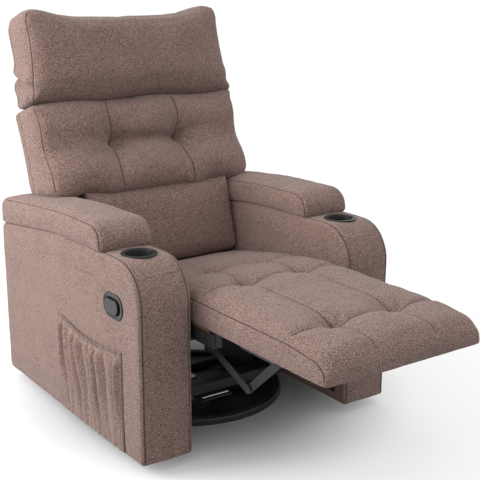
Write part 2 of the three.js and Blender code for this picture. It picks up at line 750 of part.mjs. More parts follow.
/** Handle bezel, and the release paddle that swings out of it on an upright pin. */
function buildHandle() {
  const outerX = -(CHAIR_WIDTH / 2);
  const flangeX = [outerX - SEAT_GAP - BEZEL.flange, outerX - SEAT_GAP];
  const flange = roundedFace(flangeX, BEZEL.length, BEZEL.height, BEZEL.corner);
  const inset = BEZEL.border + BEZEL.floor;
  const body = roundedFace(
    [flangeX[0] + BEZEL.flange / 2, outerX + BEZEL.depth],
    BEZEL.length - 2 * BEZEL.border, BEZEL.height - 2 * BEZEL.border, BEZEL.corner - BEZEL.border,
  );
  const recess = roundedFace(
    [outerX - OVERRUN, outerX + BEZEL.depth - BEZEL.floor],
    BEZEL.length - 2 * inset, BEZEL.height - 2 * inset, BEZEL.corner - inset,
  );
  piece("handle_bezel", cut(join(flange, body), recess), PLASTIC);
  const rearY = BEZEL.y + BEZEL.length / 2 - inset - PADDLE.gap;
  const frontY = BEZEL.y - BEZEL.length / 2 + inset + PADDLE.fingerGap;
  const paddleHeight = BEZEL.height - 2 * inset - 2 * PADDLE.gap;
  const paddleX = [outerX - PADDLE.lip, outerX - PADDLE.lip + PADDLE.thickness];
  const round = BEZEL.corner - inset - PADDLE.gap;
  const plate = roundedFace(paddleX, rearY - frontY, paddleHeight, round, (rearY + frontY) / 2, BEZEL.z);
  const pinHalf = paddleHeight / 2 + PADDLE.gap - PADDLE.pinShort;
  const pin = upright(PADDLE.pinRadius, BEZEL.z - pinHalf, BEZEL.z + pinHalf, EYE_SIDES);
  pin.translate(outerX - PADDLE.lip + PADDLE.thickness / 2, rearY - PADDLE.pinInset, 0);
  piece("release_paddle", join(plate, pin), PLASTIC);
}

/** How far the pocket's inner face stands off the arm at a place on it, given as shares from 0 to 1. */
function pocketStandOff(alongShare, upShare) {
  const edges = Math.sin(Math.PI * alongShare) ** POCKET.edgeShare;
  const open = edges * upShare ** POCKET.riseShare;
  const folds = Math.sin(Math.PI * (2 * POCKET_FOLDS * alongShare)) ** 2;
  return SEAT_GAP + open * (POCKET.mouth + POCKET.foldHeight * (folds - 1));
}

/** Gathered fabric pocket on the outer face of the sitter's right arm, open at the top. */
function buildPocket() {
  const alongCount = 4 * POCKET_FOLDS + 1;
  const upCount = POCKET_ROWS;
  const columns = alongCount + 1;
  const rows = upCount + 1;
  const positions = [];
  for (const layer of [0, POCKET.sheet]) {
    for (let row = 0; row < rows; row += 1) {
      for (let column = 0; column < columns; column += 1) {
        const alongShare = column / alongCount;
        const upShare = row / upCount;
        const top = POCKET.topZ - POCKET.sag * Math.sin(Math.PI * alongShare);
        const off = pocketStandOff(alongShare, upShare) + layer;
        positions.push(
          -(CHAIR_WIDTH / 2 + off),
          THREE.MathUtils.lerp(POCKET.frontY, POCKET.rearY, alongShare),
          THREE.MathUtils.lerp(POCKET.lowZ, top, upShare),
        );
      }
    }
  }
  const at = (layer, row, column) => (layer * rows + row) * columns + column;
  const faces = [];
  const quad = (a, b, c, d) => faces.push(a, b, c, a, c, d);
  for (let row = 0; row < upCount; row += 1) {
    for (let column = 0; column < alongCount; column += 1) {
      quad(at(0, row, column), at(0, row, column + 1), at(0, row + 1, column + 1), at(0, row + 1, column));
      quad(at(1, row, column), at(1, row + 1, column), at(1, row + 1, column + 1), at(1, row, column + 1));
    }
    quad(at(0, row, 0), at(0, row + 1, 0), at(1, row + 1, 0), at(1, row, 0));
    const last = alongCount;
    quad(at(0, row + 1, last), at(0, row, last), at(1, row, last), at(1, row + 1, last));
  }
  for (let column = 0; column < alongCount; column += 1) {
    const next = column + 1;
    quad(at(0, 0, next), at(0, 0, column), at(1, 0, column), at(1, 0, next));
    quad(at(0, upCount, column), at(0, upCount, next), at(1, upCount, next), at(1, upCount, column));
  }
  const geometry = new THREE.BufferGeometry();
  geometry.setAttribute("position", new THREE.Float32BufferAttribute(positions, 3));
  geometry.setIndex(faces);
  piece("side_pocket", geometry, FABRIC);
}

/** Seat rails with the footrest and back pivots, cross rails and deck. */
function buildSeatFrame() {
  const levels = [SEAT_RAIL_LOW_Z, SEAT_RAIL_TOP_Z];
  const boreGap = BACK.bracketGap + BACK.bracketSheet + BACK.bracketGap;
  pair("seat_rail", (side) => {
    const railY = [SEAT.railFrontY, SEAT.railRearY];
    const rail = block([side * SEAT_RAIL_INNER_X, side * SEAT_HALF_WIDTH], railY, levels);
    const hinge = new THREE.Vector2(FOOTREST_AXIS_Y, FOOTREST_AXIS_Z);
    const plateX = [side * FOOT_PLATE_INNER_X, side * (FOOT_PLATE_INNER_X + FOOT.plate)];
    const footPlate = sheet(hingePlateOutline(), plateX, CURVE_STEPS);
    const footEye = rod(plateX, hinge.x, hinge.y, FOOT.eyeRadius);
    const footPinEnd = FOOT_PLATE_INNER_X + 2 * FOOT.plate + 2 * FOOT.plateSideGap;
    const footPin = rod([plateX[0], side * footPinEnd], hinge.x, hinge.y, FOOT.pinRadius, PIN_SIDES);
    const earX = [side * SEAT_RAIL_INNER_X, side * (SEAT_RAIL_INNER_X + SEAT.earSheet)];
    const earTop = levels[0] + SEAT.earSheet;
    const backEarY = [BACK_AXIS_Y - SEAT.earHalf, BACK_AXIS_Y + SEAT.earHalf];
    const backEar = block(earX, backEarY, [BACK_AXIS_Z - SEAT.earDrop, earTop]);
    const backPinX = [side * (SEAT_RAIL_INNER_X - boreGap), earX[1]];
    const backPin = rod(backPinX, BACK_AXIS_Y, BACK_AXIS_Z, BACK.pinRadius);
    const barLugY = [BARS.seatY - SEAT.earHalf, BARS.seatY + SEAT.earHalf];
    const barLug = block(earX, barLugY, [BARS.seatZ - BARS.eyeRadius, earTop]);
    const barPinX = [side * (REAR_BAR_INNER_X - FOOT.plateSideGap), earX[1]];
    const barPin = rod(barPinX, BARS.seatY, BARS.seatZ, BARS.pinRadius, PIN_SIDES);
    return join(rail, footPlate, footEye, footPin, backEar, backPin, barLug, barPin);
  }, STEEL);
  const crossX = [-(SEAT_RAIL_INNER_X - SEAT_GAP), SEAT_RAIL_INNER_X - SEAT_GAP];
  const crossLevels = [levels[1] - SEAT.crossHeight, levels[1]];
  for (const [name, y, material] of [
    ["seat_front_rail", SEAT.frontRailY, FABRIC],
    ["seat_rear_rail", SEAT.rearRailY, TIMBER],
  ]) {
    piece(name, block(crossX, [y, y + SEAT.frontRailWidth], crossLevels), material);
  }
  const deckLevels = [levels[1] + SEAT_GAP, levels[1] + SEAT_GAP + SEAT.deck];
  const deckY = [SEAT.railFrontY + SEAT.earHalf + SEAT_GAP, SEAT_REAR_Y - SEAT.round];
  piece("seat_deck", block([-SEAT_HALF_WIDTH, SEAT_HALF_WIDTH], deckY, deckLevels), TIMBER);
}

/** Outline of the plate that carries the footrest pivot at the front of a seat rail. */
function hingePlateOutline() {
  const rearY = SEAT.railFrontY + SEAT.earHalf;
  const clearY = FOOTREST_AXIS_Y + FOOT.plateFront;
  return roundedOutline([
    [rearY, SEAT_RAIL_LOW_Z + SEAT.earSheet, 0],
    [rearY, SEAT_RAIL_TOP_Z - SEAT.earSheet, 0],
    [FOOTREST_AXIS_Y, FOOTREST_AXIS_Z + FOOT.eyeRadius / 2, 0],
    [FOOTREST_AXIS_Y - FOOT.eyeRadius / 2, FOOTREST_AXIS_Z - FOOT.eyeRadius / 2, 0],
    [clearY, FOOTREST_AXIS_Z - FOOT.plateDrop, 0],
    [clearY, SEAT_RAIL_LOW_Z + SEAT.earSheet, 0],
  ]);
}

/** How deep the sewn channels and tufts lie at a place on the seat or the footrest. */
function chaiseDimple(point) {
  let depth = 0;
  for (const row of Object.keys(TUFT_ROWS)) {
    const alongRow = bump(point.y - TUFT_ROWS[row], SEAT.creaseHalf);
    depth += SEAT.rowDepth * alongRow;
    for (const side of [-1, 1]) {
      depth += SEAT.tuftDepth * alongRow * bump(point.x - side * TUFT_COLUMNS[row], SEAT.creaseHalf);
    }
  }
  for (const side of [-1, 1]) {
    depth += SEAT.seamDepth * bump(point.x - side * TUFT_COLUMNS.middle, SEAT.creaseHalf / 2);
  }
  return depth;
}

/** Seat cushion: crowned, with sewn channels and tufts, cut back where the footrest folds. */
function buildSeatCushion() {
  const frontY = FOOTREST_AXIS_Y + SEAT.front;
  const cushion = padded({
    half: SEAT_HALF_WIDTH,
    from: frontY - SEAT.round,
    to: SEAT_REAR_Y,
    low: SEAT_BOTTOM_Z,
    top: SEAT_BOTTOM_Z + SEAT.edgeHeight,
    round: SEAT.round,
    counts: [16, 26, 3],
    warp: (point, across, along, up) => {
      const lift = ramp(up, LIFT_SHARE, 1);
      const crown = SEAT.crown * (1 - across ** SQUARE_POWER) * (1 - ramp(along, SEAT.endShare, 1));
      point.z += lift * (crown - chaiseDimple(point) * (1 - across ** BOX_POWER));
    },
  });
  const everyX = [-(SEAT_HALF_WIDTH + OVERRUN), SEAT_HALF_WIDTH + OVERRUN];
  const disc = rod(everyX, FOOTREST_AXIS_Y, FOOTREST_AXIS_Z, FOOT.sweep, RACE_STEPS);
  const below = block(everyX, [FOOTREST_AXIS_Y - FOOT.sweep, FOOTREST_AXIS_Y + FOOT.sweep],
    [FOOTREST_AXIS_Z - FOOT.sweep, FOOTREST_AXIS_Z]);
  const ahead = block(everyX, [frontY - 2 * SEAT.round, frontY], [0, 2 * SEAT_BOTTOM_Z]);
  piece("seat_cushion", cut(cushion, common(disc, below), ahead, ...sideNotches()), FABRIC);
}

/** Round notches that the footrest pivots lie in, one at each side of a cushion. */
function sideNotches() {
  return [-1, 1].map((side) => {
    const rangeX = [side * (FOOT_PLATE_INNER_X - FOOT.sideGap), side * (SEAT_HALF_WIDTH + OVERRUN)];
    return rod(rangeX, FOOTREST_AXIS_Y, FOOTREST_AXIS_Z, FOOT.sideSweep, RACE_STEPS);
  });
}

/** Footrest cushion, board and pivot brackets. */
function buildFootrest() {
  const rearY = FOOTREST_AXIS_Y - FOOT.clear;
  const frontY = FOOTREST_AXIS_Y - FOOTREST_LENGTH;
  const boardLevels = [FOOT_BOARD_TOP_Z - FOOT.board, FOOT_BOARD_TOP_Z];
  const boardY = [frontY + FOOT.boardFrontInset, FOOTREST_AXIS_Y - FOOT.boardRearInset];
  piece("footrest_board", block([-FOOT_BOARD_HALF, FOOT_BOARD_HALF], boardY, boardLevels), TIMBER);
  const cushion = padded({
    half: SEAT_HALF_WIDTH,
    from: frontY,
    to: rearY + FOOT.round,
    low: FOOT_BOARD_TOP_Z + SEAT_GAP,
    top: FOOT_BOARD_TOP_Z + SEAT_GAP + FOOT.edgeHeight,
    round: FOOT.round,
    counts: [16, 16, 3],
    warp: (point, across, along, up) => {
      const lift = ramp(up, LIFT_SHARE, 1);
      const crown = FOOT.crown * (1 - across ** SQUARE_POWER) * ramp(along, -1, -FOOT.endShare);
      const fall = FOOT.taper * ramp(-point.y, -frontY - FOOT.taperStart, -frontY);
      point.z += lift * (crown - fall - chaiseDimple(point) * (1 - across ** BOX_POWER));
    },
  });
  const everyX = [-(SEAT_HALF_WIDTH + OVERRUN), SEAT_HALF_WIDTH + OVERRUN];
  const behind = block(everyX, [rearY, rearY + 2 * FOOT.round], [0, 2 * SEAT_BOTTOM_Z]);
  const strapX = FOOT_PLATE_INNER_X + FOOT.plate + FOOT.plateSideGap;
  const strapLevels = [FOOT_BOARD_TOP_Z + SEAT_GAP, FOOTREST_AXIS_Z + FOOT.eyeRadius];
  const strapSlots = [-1, 1].map((side) =>
    block(
      [side * (FOOT_PLATE_INNER_X - FOOT.sideGap), side * (SEAT_HALF_WIDTH + OVERRUN)],
      [FOOTREST_AXIS_Y - FOOT.strapLength - FOOT.sideGap, FOOTREST_AXIS_Y],
      [strapLevels[0] - OVERRUN, strapLevels[1]],
    ),
  );
  piece("footrest_cushion", cut(cushion, behind, ...sideNotches(), ...strapSlots), FABRIC);
  pair("footrest_bracket", (side) => {
    const rangeX = [side * strapX, side * (strapX + FOOT.plate)];
    const eye = rod(rangeX, FOOTREST_AXIS_Y, FOOTREST_AXIS_Z, FOOT.eyeRadius);
    const shelfTop = boardLevels[0] - SEAT_GAP;
    const outline = roundedOutline([
      [FOOTREST_AXIS_Y - FOOT.strapLength, shelfTop - FOOT.strapRise, 0],
      [FOOTREST_AXIS_Y - FOOT.shelfRear, shelfTop - FOOT.strapRise, 0],
      [FOOTREST_AXIS_Y + FOOT.eyeRadius / 2, FOOTREST_AXIS_Z - FOOT.eyeRadius / 2, 0],
      [FOOTREST_AXIS_Y - FOOT.eyeRadius / 2, FOOTREST_AXIS_Z + FOOT.eyeRadius / 2, 0],
      [FOOTREST_AXIS_Y - FOOT.strapLength, boardLevels[1], 0],
    ]);
    const strap = sheet(outline, rangeX, 1);
    const shelf = block(
      [side * (strapX + FOOT.plate - FOOT.shelfWidth), rangeX[1]],
      [FOOTREST_AXIS_Y - FOOT.strapLength, FOOTREST_AXIS_Y - FOOT.shelfRear],
      [shelfTop - FOOT.strapRise, shelfTop],
    );
    const boreX = [side * (strapX - OVERRUN), side * (strapX + OVERRUN)];
    const bore = rod(boreX, FOOTREST_AXIS_Y, FOOTREST_AXIS_Z, FOOT.pinRadius + PIVOT_GAP, PIN_SIDES);
    const lugX = [side * BAR_LUG_INNER_X, side * (BAR_LUG_INNER_X + BARS.sheet)];
    const lugY = [BARS.footY - BARS.eyeRadius, BARS.footY + BARS.eyeRadius];
    const lug = block(lugX, lugY, [BARS.footZ - BARS.eyeRadius, shelfTop]);
    const lugPinX = [lugX[0], side * (FRONT_BAR_INNER_X + BARS.sheet + FOOT.plateSideGap)];
    const lugPin = rod(lugPinX, BARS.footY, BARS.footZ, BARS.pinRadius, PIN_SIDES);
    return cut(join(eye, strap, shelf, lug, lugPin), bore);
  }, STEEL);
}

/** Where the two bars of the footrest linkage meet: a parallelogram with the seat and the footrest. */
function barKnee() {
  const y = BARS.seatY + BARS.footY - FOOTREST_AXIS_Y;
  const z = BARS.seatZ + BARS.footZ - FOOTREST_AXIS_Z;
  return new THREE.Vector2(y, z);
}

/** Linkage bars between the seat rails and the footrest. */
function buildFootrestBars() {
  const knee = barKnee();
  const hole = BARS.pinRadius + PIVOT_GAP;
  pair("rear_linkage_bar", (side) => {
    const rangeX = [side * REAR_BAR_INNER_X, side * (REAR_BAR_INNER_X + BARS.sheet)];
    const start = new THREE.Vector2(BARS.seatY, BARS.seatZ);
    const bar = eyeBar(rangeX, start, knee, BARS.eyeRadius, BARS.halfWidth, hole);
    const kneePinX = [side * (FRONT_BAR_INNER_X - FOOT.plateSideGap), rangeX[1]];
    const kneePin = rod(kneePinX, knee.x, knee.y, hole, PIN_SIDES);
    return join(bar, kneePin);
  }, STEEL);
  pair("front_linkage_bar", (side) => {
    const rangeX = [side * FRONT_BAR_INNER_X, side * (FRONT_BAR_INNER_X + BARS.sheet)];
    const end = new THREE.Vector2(BARS.footY, BARS.footZ);
    return eyeBar(rangeX, knee, end, BARS.eyeRadius, BARS.halfWidth, hole + PIVOT_GAP);
  }, STEEL);
}

/** Stand a padded block up in the back, so that its length runs up it and its padded side faces forward. */
function upInBack(geometry) {
  return geometry.rotateX(Math.PI / 2);
}

/** A stile of the back, grown by a gap for the channel that it lies in. */
function backStile(side, gap = 0) {
  const rangeX = [side * (BACK_STILE_INNER_X - gap), side * (BACK_STILE_INNER_X + BACK.stileWidth + gap)];
  return block(rangeX, backFrameDepth(gap), [BACK.stileLow - gap, BACK_STILE_TOP + gap]);
}

/** A cross rail of the back, grown by a gap for the channel that it lies in. */
function backRail(low, gap = 0) {
  const end = BACK_STILE_INNER_X - SEAT_GAP + gap;
  return block([-end, end], backFrameDepth(gap), [low - gap, low + BACK.railHeight + gap]);
}

/** Depth range of the back's wooden frame; a channel for it also opens to the front. */
function backFrameDepth(gap) {
  return [BACK.frameFront - (gap > 0 ? OVERRUN : 0), BACK.frameRear + gap];
}

/** Channels for the whole wooden frame. */
function backFrameTools() {
  const rails = Object.values(backRailPlaces()).map((low) => backRail(low, SEAT_GAP));
  return [...rails, backStile(-1, SEAT_GAP), backStile(1, SEAT_GAP)];
}

/** Lower edge of each cross rail of the back. */
function backRailPlaces() {
  return {
    back_low_rail: BACK.lowRail,
    back_middle_rail: MIDDLE_LOW,
    back_top_rail: BACK_STILE_TOP - BACK.railHeight,
  };
}

/** Wooden frame of the back, and the steel brackets that hang it on the seat. */
function buildBackFrame(back) {
  const stileOuterX = BACK_STILE_INNER_X + BACK.stileWidth;
  pair("back_stile", (side) => backStile(side), TIMBER, back);
  for (const [name, low] of Object.entries(backRailPlaces())) {
    piece(name, backRail(low), TIMBER, back);
  }
  pair("back_bracket", (side) => {
    const rangeX = [side * (stileOuterX + SEAT_GAP), side * (stileOuterX + SEAT_GAP + BACK.bracketSheet)];
    const eye = rod(rangeX, 0, 0, BACK.bracketHalf);
    const outline = roundedOutline([
      [BACK.bracketHalf / 2, -BACK.bracketHalf / 2, 0],
      [BACK.bracketHalf / 2, BACK.bracketHalf / 2, 0],
      [BACK.frameRear, BACK.bracketTop, 0],
      [BACK.frameFront, BACK.bracketTop, 0],
      [BACK.frameFront, BACK.stileLow, 0],
    ]);
    const boreX = [rangeX[0] - side * OVERRUN, rangeX[1] + side * OVERRUN];
    const bore = rod(boreX, 0, 0, BACK.pinRadius + PIVOT_GAP);
    return cut(join(eye, sheet(outline, rangeX, 1)), bore);
  }, STEEL, back);
}

/** Panel that closes the back between the arms. */
function buildLowerBackPanel(back) {
  const front = BACK.frameRear + SEAT_GAP;
  const panelHalf = BACK_STILE_INNER_X + BACK.stileWidth - BACK.panelInset;
  const panel = block([-panelHalf, panelHalf], [front, front + BACK.panelThickness],
    [BACK.panelLow, BACK.panelTop]);
  piece("lower_back_panel", panel, FABRIC, back);
}

/** Lumbar, middle and head cushions. */
function buildBackCushions(back) {
  const low = -BACK.frameFront + SEAT_GAP;
  const lumbar = padded({
    half: LUMBAR_HALF,
    from: LUMBAR.low,
    to: LUMBAR.top,
    low,
    top: -LUMBAR.front,
    round: LUMBAR.round,
    counts: [12, 7, 3],
    warp: (point, across, along, up) => {
      point.z += up * LUMBAR.crown * (1 - across ** ROUND_POWER) * (1 - along ** ROUND_POWER);
    },
  });
  piece("lumbar_cushion", upInBack(lumbar), FABRIC, back);
  const middle = padded({
    half: MIDDLE_TOP_HALF,
    from: MIDDLE_LOW,
    to: MIDDLE.top,
    low,
    top: -MIDDLE.front,
    round: MIDDLE.round,
    counts: [24, 13, 3],
    warp: (point, across, along, up) => {
      point.x *= THREE.MathUtils.lerp(MIDDLE_LOW_HALF / MIDDLE_TOP_HALF, 1, (along + 1) / 2);
      const lift = ramp(up, LIFT_SHARE, 1);
      const crown = MIDDLE.crown * (1 - across ** SQUARE_POWER) * (1 - along ** SQUARE_POWER);
      point.z += lift * (crown - middleDimple(point) * (1 - along ** BOX_POWER));
    },
  });
  piece("middle_cushion", upInBack(middle), FABRIC, back);
  const head = padded({
    half: HEAD_LOW_HALF,
    from: HEAD_LOW,
    to: HEAD.top,
    low,
    top: -HEAD.front,
    round: HEAD.round,
    counts: [16, 9, 3],
    warp: (point, across, along, up) => {
      const upShare = (along + 1) / 2;
      point.x *= THREE.MathUtils.lerp(1, HEAD_TOP_HALF / HEAD_LOW_HALF, upShare);
      point.y -= HEAD.dip * upShare ** HEAD.dipPower * (1 - across ** ROUND_POWER);
      const lean = HEAD.lean * Math.sin(upShare * Math.PI * HEAD.leanShare);
      point.z += up * (lean + HEAD.crown * (1 - across ** SQUARE_POWER) * (1 - along ** ROUND_POWER));
    },
  });
  piece("head_cushion", upInBack(head), FABRIC, back);
}

/** How deep the tufts, seams and crease lie at a place on the middle cushion. */
function middleDimple(point) {
  const nearRow = bump(point.y - MIDDLE_TUFT.height, MIDDLE_TUFT.spread);
  let depth = MIDDLE_TUFT.creaseDepth * nearRow;
  for (const side of [-1, 1]) {
    const off = point.x - side * MIDDLE_TUFT.x;
    depth += MIDDLE_TUFT.seamDepth * bump(off, MIDDLE_TUFT.seamSpread);
    depth += MIDDLE_TUFT.depth * nearRow * bump(off, MIDDLE_TUFT.spread);
  }
  return depth;
}

/** Padded rear covers of the middle and the head, cut out where the wooden frame lies. */
function buildBackShells(back) {
  for (const [name, half, from, to, rear] of [
    ["middle_back_cover", MIDDLE_TOP_HALF, MIDDLE_LOW + SHELL.lowRise, MIDDLE.top, SHELL.middleRear],
    ["head_back_cover", HEAD_TOP_HALF, HEAD_LOW, HEAD.top - SHELL.topDrop, SHELL.headRear],
  ]) {
    const shell = padded({
      half,
      from,
      to,
      low: 0,
      top: rear - BACK.frameFront,
      round: SHELL.round,
      counts: [10, 6, 3],
    });
    const skin = upInBack(shell).rotateZ(Math.PI).translate(0, BACK.frameFront, 0);
    piece(name, cut(skin, ...backFrameTools()), FABRIC, back);
  }
}

/** The whole back, turned to its tilt about its pivot. */
function buildBack() {
  const back = new THREE.Group();
  back.position.set(0, BACK_AXIS_Y, BACK_AXIS_Z);
  back.rotation.x = -THREE.MathUtils.degToRad(BACK_TILT_DEGREES);
  chair.add(back);
  buildBackFrame(back);
  buildLowerBackPanel(back);
  buildBackCushions(back);
  buildBackShells(back);
}

buildBase();
buildStand();
buildGlideLinks();
buildHungFrame();
buildArms();
buildCups();
buildHandle();
buildPocket();
buildSeatFrame();
buildSeatCushion();
buildFootrest();
buildFootrestBars();
buildBack();

export default chair;
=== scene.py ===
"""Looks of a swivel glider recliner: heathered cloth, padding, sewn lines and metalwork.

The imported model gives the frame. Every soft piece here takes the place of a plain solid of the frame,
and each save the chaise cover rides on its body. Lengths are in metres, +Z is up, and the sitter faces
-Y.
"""

from __future__ import annotations

import json
import logging
import math
from dataclasses import dataclass, field
from enum import Enum
from typing import Callable, Iterable, Sequence

import bmesh
import bpy
import numpy as np
from mathutils import Matrix, Vector, noise

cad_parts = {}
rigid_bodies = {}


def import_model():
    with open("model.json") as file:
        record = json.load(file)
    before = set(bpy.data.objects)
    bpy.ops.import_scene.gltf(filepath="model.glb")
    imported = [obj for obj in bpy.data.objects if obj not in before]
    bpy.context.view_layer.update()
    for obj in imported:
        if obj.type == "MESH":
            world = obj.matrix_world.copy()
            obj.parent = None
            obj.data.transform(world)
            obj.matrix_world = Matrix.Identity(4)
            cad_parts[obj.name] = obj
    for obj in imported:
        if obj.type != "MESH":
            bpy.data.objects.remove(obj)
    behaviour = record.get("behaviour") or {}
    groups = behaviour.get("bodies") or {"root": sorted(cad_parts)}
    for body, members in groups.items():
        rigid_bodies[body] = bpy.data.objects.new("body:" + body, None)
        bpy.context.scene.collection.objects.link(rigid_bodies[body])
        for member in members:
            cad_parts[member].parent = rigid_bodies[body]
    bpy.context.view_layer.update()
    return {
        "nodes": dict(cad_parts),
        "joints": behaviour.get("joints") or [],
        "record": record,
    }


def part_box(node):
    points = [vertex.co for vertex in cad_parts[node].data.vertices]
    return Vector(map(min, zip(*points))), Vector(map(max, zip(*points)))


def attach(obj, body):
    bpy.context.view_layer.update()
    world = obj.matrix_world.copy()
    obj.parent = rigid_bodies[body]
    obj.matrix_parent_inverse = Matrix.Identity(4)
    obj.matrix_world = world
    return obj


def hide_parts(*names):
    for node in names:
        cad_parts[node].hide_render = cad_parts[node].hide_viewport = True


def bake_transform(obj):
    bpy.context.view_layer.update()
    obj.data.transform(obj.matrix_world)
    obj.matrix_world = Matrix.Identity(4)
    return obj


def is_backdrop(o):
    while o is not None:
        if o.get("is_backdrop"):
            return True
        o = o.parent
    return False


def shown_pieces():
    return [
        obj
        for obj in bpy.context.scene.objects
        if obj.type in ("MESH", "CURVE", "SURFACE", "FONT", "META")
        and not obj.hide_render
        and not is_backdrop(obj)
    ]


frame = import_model()

LOG = logging.getLogger("recliner")
TINY = 1e-6
AXES = (Vector((1, 0, 0)), Vector((0, 1, 0)), Vector((0, 0, 1)))
PLACE_ATTRIBUTE = "cloth_place"
SEAM_ATTRIBUTE = "sewn_line"
Colour = tuple[float, float, float]
Mask = Callable[[np.ndarray], np.ndarray]


class Slot(Enum):
    """Material slots of the record."""

    UPHOLSTERY = "upholstery"
    BLACK_STEEL = "black_steel"
    BRIGHT_STEEL = "bright_steel"
    BLACK_PLASTIC = "black_plastic"
    TIMBER = "timber"


class Side(Enum):
    """The two sides of the chair, as the sitter has them, with the sign of X on each."""

    RIGHT = -1
    LEFT = 1

    @property
    def label(self) -> str:
        """Name of the side in lower case."""
        return self.name.lower()


class Socket:
    """A shader socket that takes part in Python arithmetic by adding Math nodes."""

    def __init__(self, graph: Graph, socket: bpy.types.NodeSocket) -> None:
        """Wrap a socket of a graph.

        Args:
            graph: The graph that new Math nodes go into.
            socket: The output socket to wrap.
        """
        self.graph = graph
        self.socket = socket

    def maths(self, operation: str, *operands: Socket | float, clamp: bool = False) -> Socket:
        """Add one Math node.

        Args:
            operation: Name of the node's operation.
            operands: What goes into the node, in order.
            clamp: Whether the result is kept between 0 and 1.

        Returns:
            The node's result.
        """
        inputs = dict(enumerate(operands))
        return self.graph.add("ShaderNodeMath", {"operation": operation, "use_clamp": clamp}, inputs)

    def __add__(self, other: Socket | float) -> Socket:
        """Sum of both."""
        return self.maths("ADD", self, other)

    def __radd__(self, other: float) -> Socket:
        """Sum of both."""
        return self.maths("ADD", other, self)

    def __sub__(self, other: Socket | float) -> Socket:
        """This less the other."""
        return self.maths("SUBTRACT", self, other)

    def __rsub__(self, other: float) -> Socket:
        """The other less this."""
        return self.maths("SUBTRACT", other, self)

    def __mul__(self, other: Socket | float) -> Socket:
        """Product of both."""
        return self.maths("MULTIPLY", self, other)

    def __rmul__(self, other: float) -> Socket:
        """Product of both."""
        return self.maths("MULTIPLY", other, self)

    def __truediv__(self, other: Socket | float) -> Socket:
        """This divided by the other."""
        return self.maths("DIVIDE", self, other)

    def __rtruediv__(self, other: float) -> Socket:
        """The other divided by this."""
        return self.maths("DIVIDE", other, self)

    def clamped(self) -> Socket:
        """This kept between 0 and 1."""
        return self.maths("ADD", self, 0.0, clamp=True)


